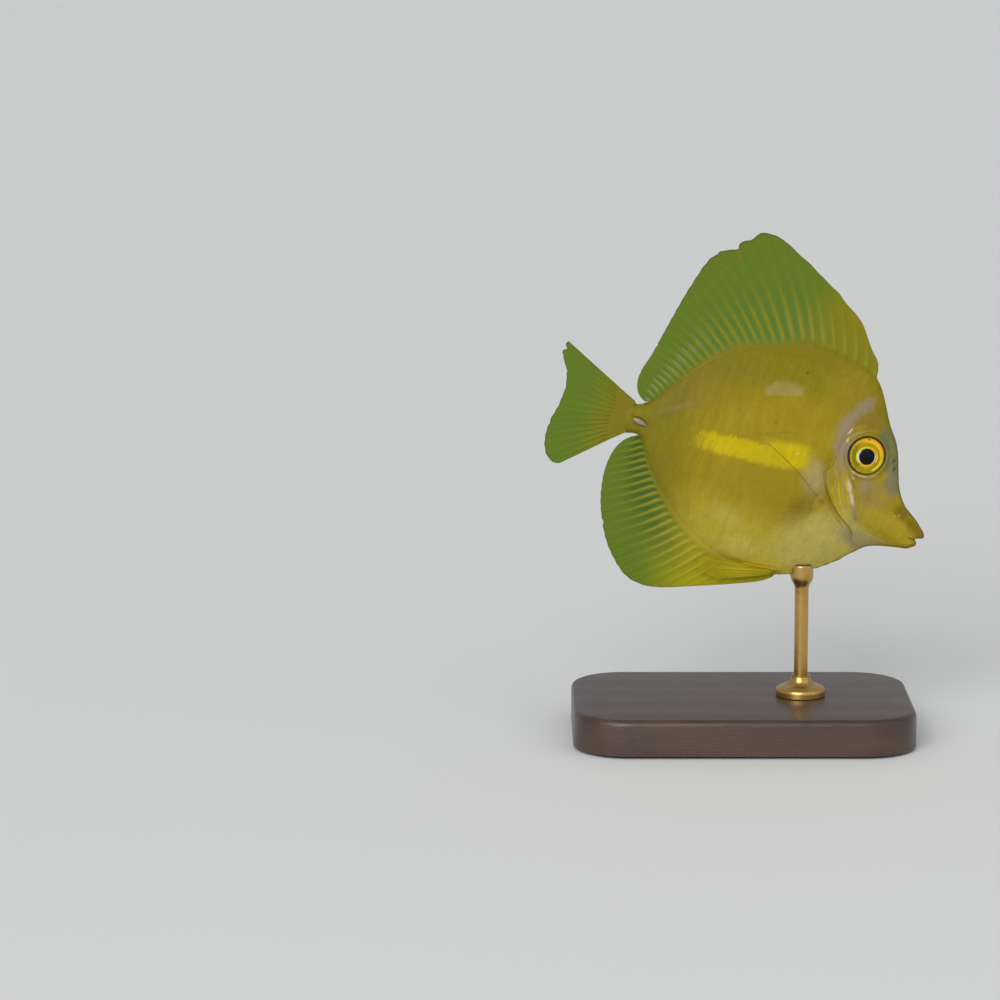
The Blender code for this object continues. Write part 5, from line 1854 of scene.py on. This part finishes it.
def rod_profile(top):
    """The rod from its foot on the base to the cradle under the belly, as (radius, height)."""
    foot = BASE_SIZE[2]
    turns = np.linspace(0.0, math.pi / 2, 7)
    disc = [(1.0, foot), (3.05, foot), (3.2, foot + 0.12), (3.2, foot + 0.62)]
    shoulder = [(2.6 + 0.6 * math.cos(t), foot + 0.7 + 0.6 * math.sin(t)) for t in turns]
    cove = [(2.5 - 1.25 * math.sin(t), foot + 2.55 - 1.15 * math.cos(t)) for t in turns]
    ring = [(1.2, foot + 2.62), (1.28, foot + 2.72), (1.2, foot + 2.82), (ROD_RADIUS, foot + 2.9)]
    neck = top - CRADLE_DEPTH - 1.6
    shaft = [(ROD_RADIUS, height) for height in np.linspace(foot + 3.4, neck, 8)]
    widen = CRADLE_RADIUS - ROD_RADIUS
    flare = [
        (ROD_RADIUS + widen * (0.5 - 0.5 * math.cos(math.pi * s)), neck + 1.7 * s)
        for s in np.linspace(0.0, 1.0, 11)[1:]
    ]
    bowl = [(CRADLE_RADIUS, height) for height in np.linspace(neck + 1.85, top - 0.16, 9)]
    bowl += [(CRADLE_RADIUS - 0.03, top - 0.07), (CRADLE_RADIUS - 0.1, top)]
    inside = [(share * CRADLE_RADIUS, top) for share in (0.85, 0.7, 0.55, 0.4, 0.25, 0.1)]
    return disc + shoulder + cove + ring + shaft + flare + bowl + inside


def build_stand(context):
    """Wooden base on felt, and a turned rod whose cradle and pad are hollowed to the belly."""
    stage = settings(context, "tang_stage")
    long, wide, height = BASE_SIZE
    base = rounded_slab(
        "stand_plinth", (long, wide, height - FELT_HEIGHT), FELT_HEIGHT, BASE_CORNER, BASE_BEVEL)
    felt = rounded_slab(
        "stand_felt", (long - 2 * FELT_INSET, wide - 2 * FELT_INSET, FELT_HEIGHT + FELT_LAP), 0.0,
        BASE_CORNER - FELT_INSET, FELT_BEVEL)
    tree, spot = stand_tree(context)
    top = spot.z + CRADLE_RISE
    under_chest = Matrix.Translation((spot.x, 0.0, 0.0))
    rod = turned("stand_stem", rod_profile(top), 64)
    rod.data.transform(under_chest)
    for vertex in rod.data.vertices:
        if vertex.co.z > top - CRADLE_DEPTH:
            limit = belly_above(tree, vertex.co.x, vertex.co.y) - PAD_GAP
            vertex.co.z = min(vertex.co.z, limit)
    pad = turned("stand_pad", pad_profile(), 48)
    pad.data.transform(under_chest)
    for vertex in pad.data.vertices:
        above = belly_above(tree, vertex.co.x, vertex.co.y)
        if vertex.co.z > 0.5:
            vertex.co.z = min(above - PAD_TOUCH, top + PAD_RISE)
        else:
            vertex.co.z = min(above - PAD_GAP, top) - PAD_SUNK
    finishes = (
        (base, make_wood_paint(context), "stand_wood", ("stand_base",)),
        (felt, make_felt_paint("base_felt", stage.base_felt), "stand_wood", ()),
        (rod, make_brass_paint(context), "stand_brass", ("stand_rod",)),
        (pad, make_felt_paint("pad_felt", stage.pad_felt), "stand_brass", ()),
    )
    for made, material, slot, replaced in finishes:
        settle(context, made, material, replaced, 35.0, level=False)


def pad_profile():
    """The pad's rings, low ones at 0 and high ones at 1, to be laid on cradle and belly."""
    shares = (0.12, 0.3, 0.5, 0.7, 0.86, 0.97)
    low = [(share * PAD_RADIUS, 0.0) for share in shares]
    return low + [(PAD_RADIUS, 0.2), (PAD_RADIUS, 0.8)] + [(r, 1.0) for r, _ in low[::-1]]


LIT_SPOT = (0.0, 0.0, 0.035)


def add_light(context, kind, name, source, angle_or_size, strength):
    """A soft light shining from a point towards the fish.

    A sun has an angle in degrees, and an area light a size in metres.
    """
    light = bpy.data.lights.new(name, kind)
    light.energy = strength
    if kind == "SUN":
        light.angle = math.radians(angle_or_size)
    else:
        light.size = angle_or_size
    lamp = bpy.data.objects.new(name, light)
    lamp.location = source
    towards = Vector(LIT_SPOT) - lamp.location
    lamp.rotation_euler = towards.to_track_quat("-Z", "Y").to_euler()
    context.scene.collection.objects.link(lamp)


def build_stage(context):
    """Pale floor, soft light and the camera at the photograph's angle."""
    stage = settings(context, "tang_stage")
    deselect()
    bpy.ops.mesh.primitive_plane_add(size=14.0)
    floor = named("floor")
    floor.data.materials.append(make_floor_paint(context))
    add_light(context, "SUN", "key", (-0.4, -1.0, 0.62), 45.0, stage.key_strength)
    add_light(context, "SUN", "fill", (0.9, -0.8, 0.35), 80.0, stage.fill_strength)
    add_light(context, "AREA", "glint", (-0.12, -0.42, 0.2), 0.05, 0.12)
    world = bpy.data.worlds.new("studio")
    world.use_nodes = True
    sky = world.node_tree.nodes["Background"]
    sky.inputs["Color"].default_value = (0.94, 0.97, 1.0, 1.0)
    sky.inputs["Strength"].default_value = stage.sky_strength
    context.scene.world = world
    context.scene.view_settings.view_transform = "Standard"
    lens = bpy.data.cameras.new("camera")
    lens.sensor_width = 36.0
    lens.lens = lens.sensor_width * stage.distance / stage.view_width
    lens.clip_start, lens.clip_end = 0.01, 50.0
    camera = bpy.data.objects.new("camera", lens)
    back = Vector((0.0, -math.cos(stage.elevation), math.sin(stage.elevation)))
    camera.location = Vector((stage.aim_x, 0.0, stage.aim_z)) + back * stage.distance
    camera.rotation_euler = (-back).to_track_quat("-Z", "Y").to_euler()
    context.scene.collection.objects.link(camera)
    context.scene.camera = camera


class TANG_OT_skin(bpy.types.Operator):
    """Model the skin from the lips to the tail stalk"""

    bl_idname = "tang.skin"
    bl_label = "Skin"

    def execute(self, context):
        build_skin(context)
        return {"FINISHED"}


class TANG_OT_scales(bpy.types.Operator):
    """Lay the scales on both flanks"""

    bl_idname = "tang.scales"
    bl_label = "Scales"

    def execute(self, context):
        build_scales(context)
        return {"FINISHED"}


class TANG_OT_eyes(bpy.types.Operator):
    """Turn both eyes and the clear domes over them"""

    bl_idname = "tang.eyes"
    bl_label = "Eyes"

    def execute(self, context):
        build_eyes(context)
        return {"FINISHED"}


class TANG_OT_median_fins(bpy.types.Operator):
    """Model the back fin, the anal fin and the tail fin"""

    bl_idname = "tang.median_fins"
    bl_label = "Median Fins"

    def execute(self, context):
        build_median_fins(context)
        return {"FINISHED"}


class TANG_OT_paired_fins(bpy.types.Operator):
    """Model the breast fins and the belly fins"""

    bl_idname = "tang.paired_fins"
    bl_label = "Paired Fins"

    def execute(self, context):
        build_paired_fins(context)
        return {"FINISHED"}


class TANG_OT_blades(bpy.types.Operator):
    """Model the blade on each side of the tail stalk"""

    bl_idname = "tang.blades"
    bl_label = "Tail Blades"

    def execute(self, context):
        build_blades(context)
        return {"FINISHED"}


class TANG_OT_stand(bpy.types.Operator):
    """Model the wooden base, the brass rod and the felt pads"""

    bl_idname = "tang.stand"
    bl_label = "Stand"

    def execute(self, context):
        build_stand(context)
        return {"FINISHED"}


class TANG_OT_stage(bpy.types.Operator):
    """Set up the floor, the lights and the camera"""

    bl_idname = "tang.stage"
    bl_label = "Stage"

    def execute(self, context):
        build_stage(context)
        return {"FINISHED"}


PIECES = (
    TANG_OT_skin, TANG_OT_scales, TANG_OT_eyes, TANG_OT_median_fins, TANG_OT_paired_fins,
    TANG_OT_blades, TANG_OT_stand, TANG_OT_stage,
)
GROUPS = {
    "tang_pose": TangPose, "tang_skin": TangSkin, "tang_eye": TangEye, "tang_fins": TangFins,
    "tang_stage": TangStage,
}


class TANG_PT_pieces(bpy.types.Panel):
    """The pieces of the model and their sizes and colours"""

    bl_idname = "TANG_PT_pieces"
    bl_label = "Yellow Tang"
    bl_space_type = "VIEW_3D"
    bl_region_type = "UI"
    bl_category = "Tang"

    def draw(self, context):
        for piece in PIECES:
            self.layout.operator(piece.bl_idname)
        for group in GROUPS:
            box = self.layout.box()
            for key in GROUPS[group].__annotations__:
                box.prop(getattr(context.scene, group), key)


def register():
    for group, kind in GROUPS.items():
        bpy.utils.register_class(kind)
        setattr(bpy.types.Scene, group, PointerProperty(type=kind))
    for kind in (*PIECES, TANG_PT_pieces):
        bpy.utils.register_class(kind)


def unregister():
    for kind in (TANG_PT_pieces, *reversed(PIECES)):
        bpy.utils.unregister_class(kind)
    for group, kind in reversed(GROUPS.items()):
        delattr(bpy.types.Scene, group)
        bpy.utils.unregister_class(kind)


def main():
    register()
    bpy.ops.tang.skin()
    bpy.ops.tang.scales()
    bpy.ops.tang.eyes()
    bpy.ops.tang.median_fins()
    bpy.ops.tang.paired_fins()
    bpy.ops.tang.blades()
    bpy.ops.tang.stand()
    bpy.ops.tang.stage()


if __name__ == "__main__":
    main()
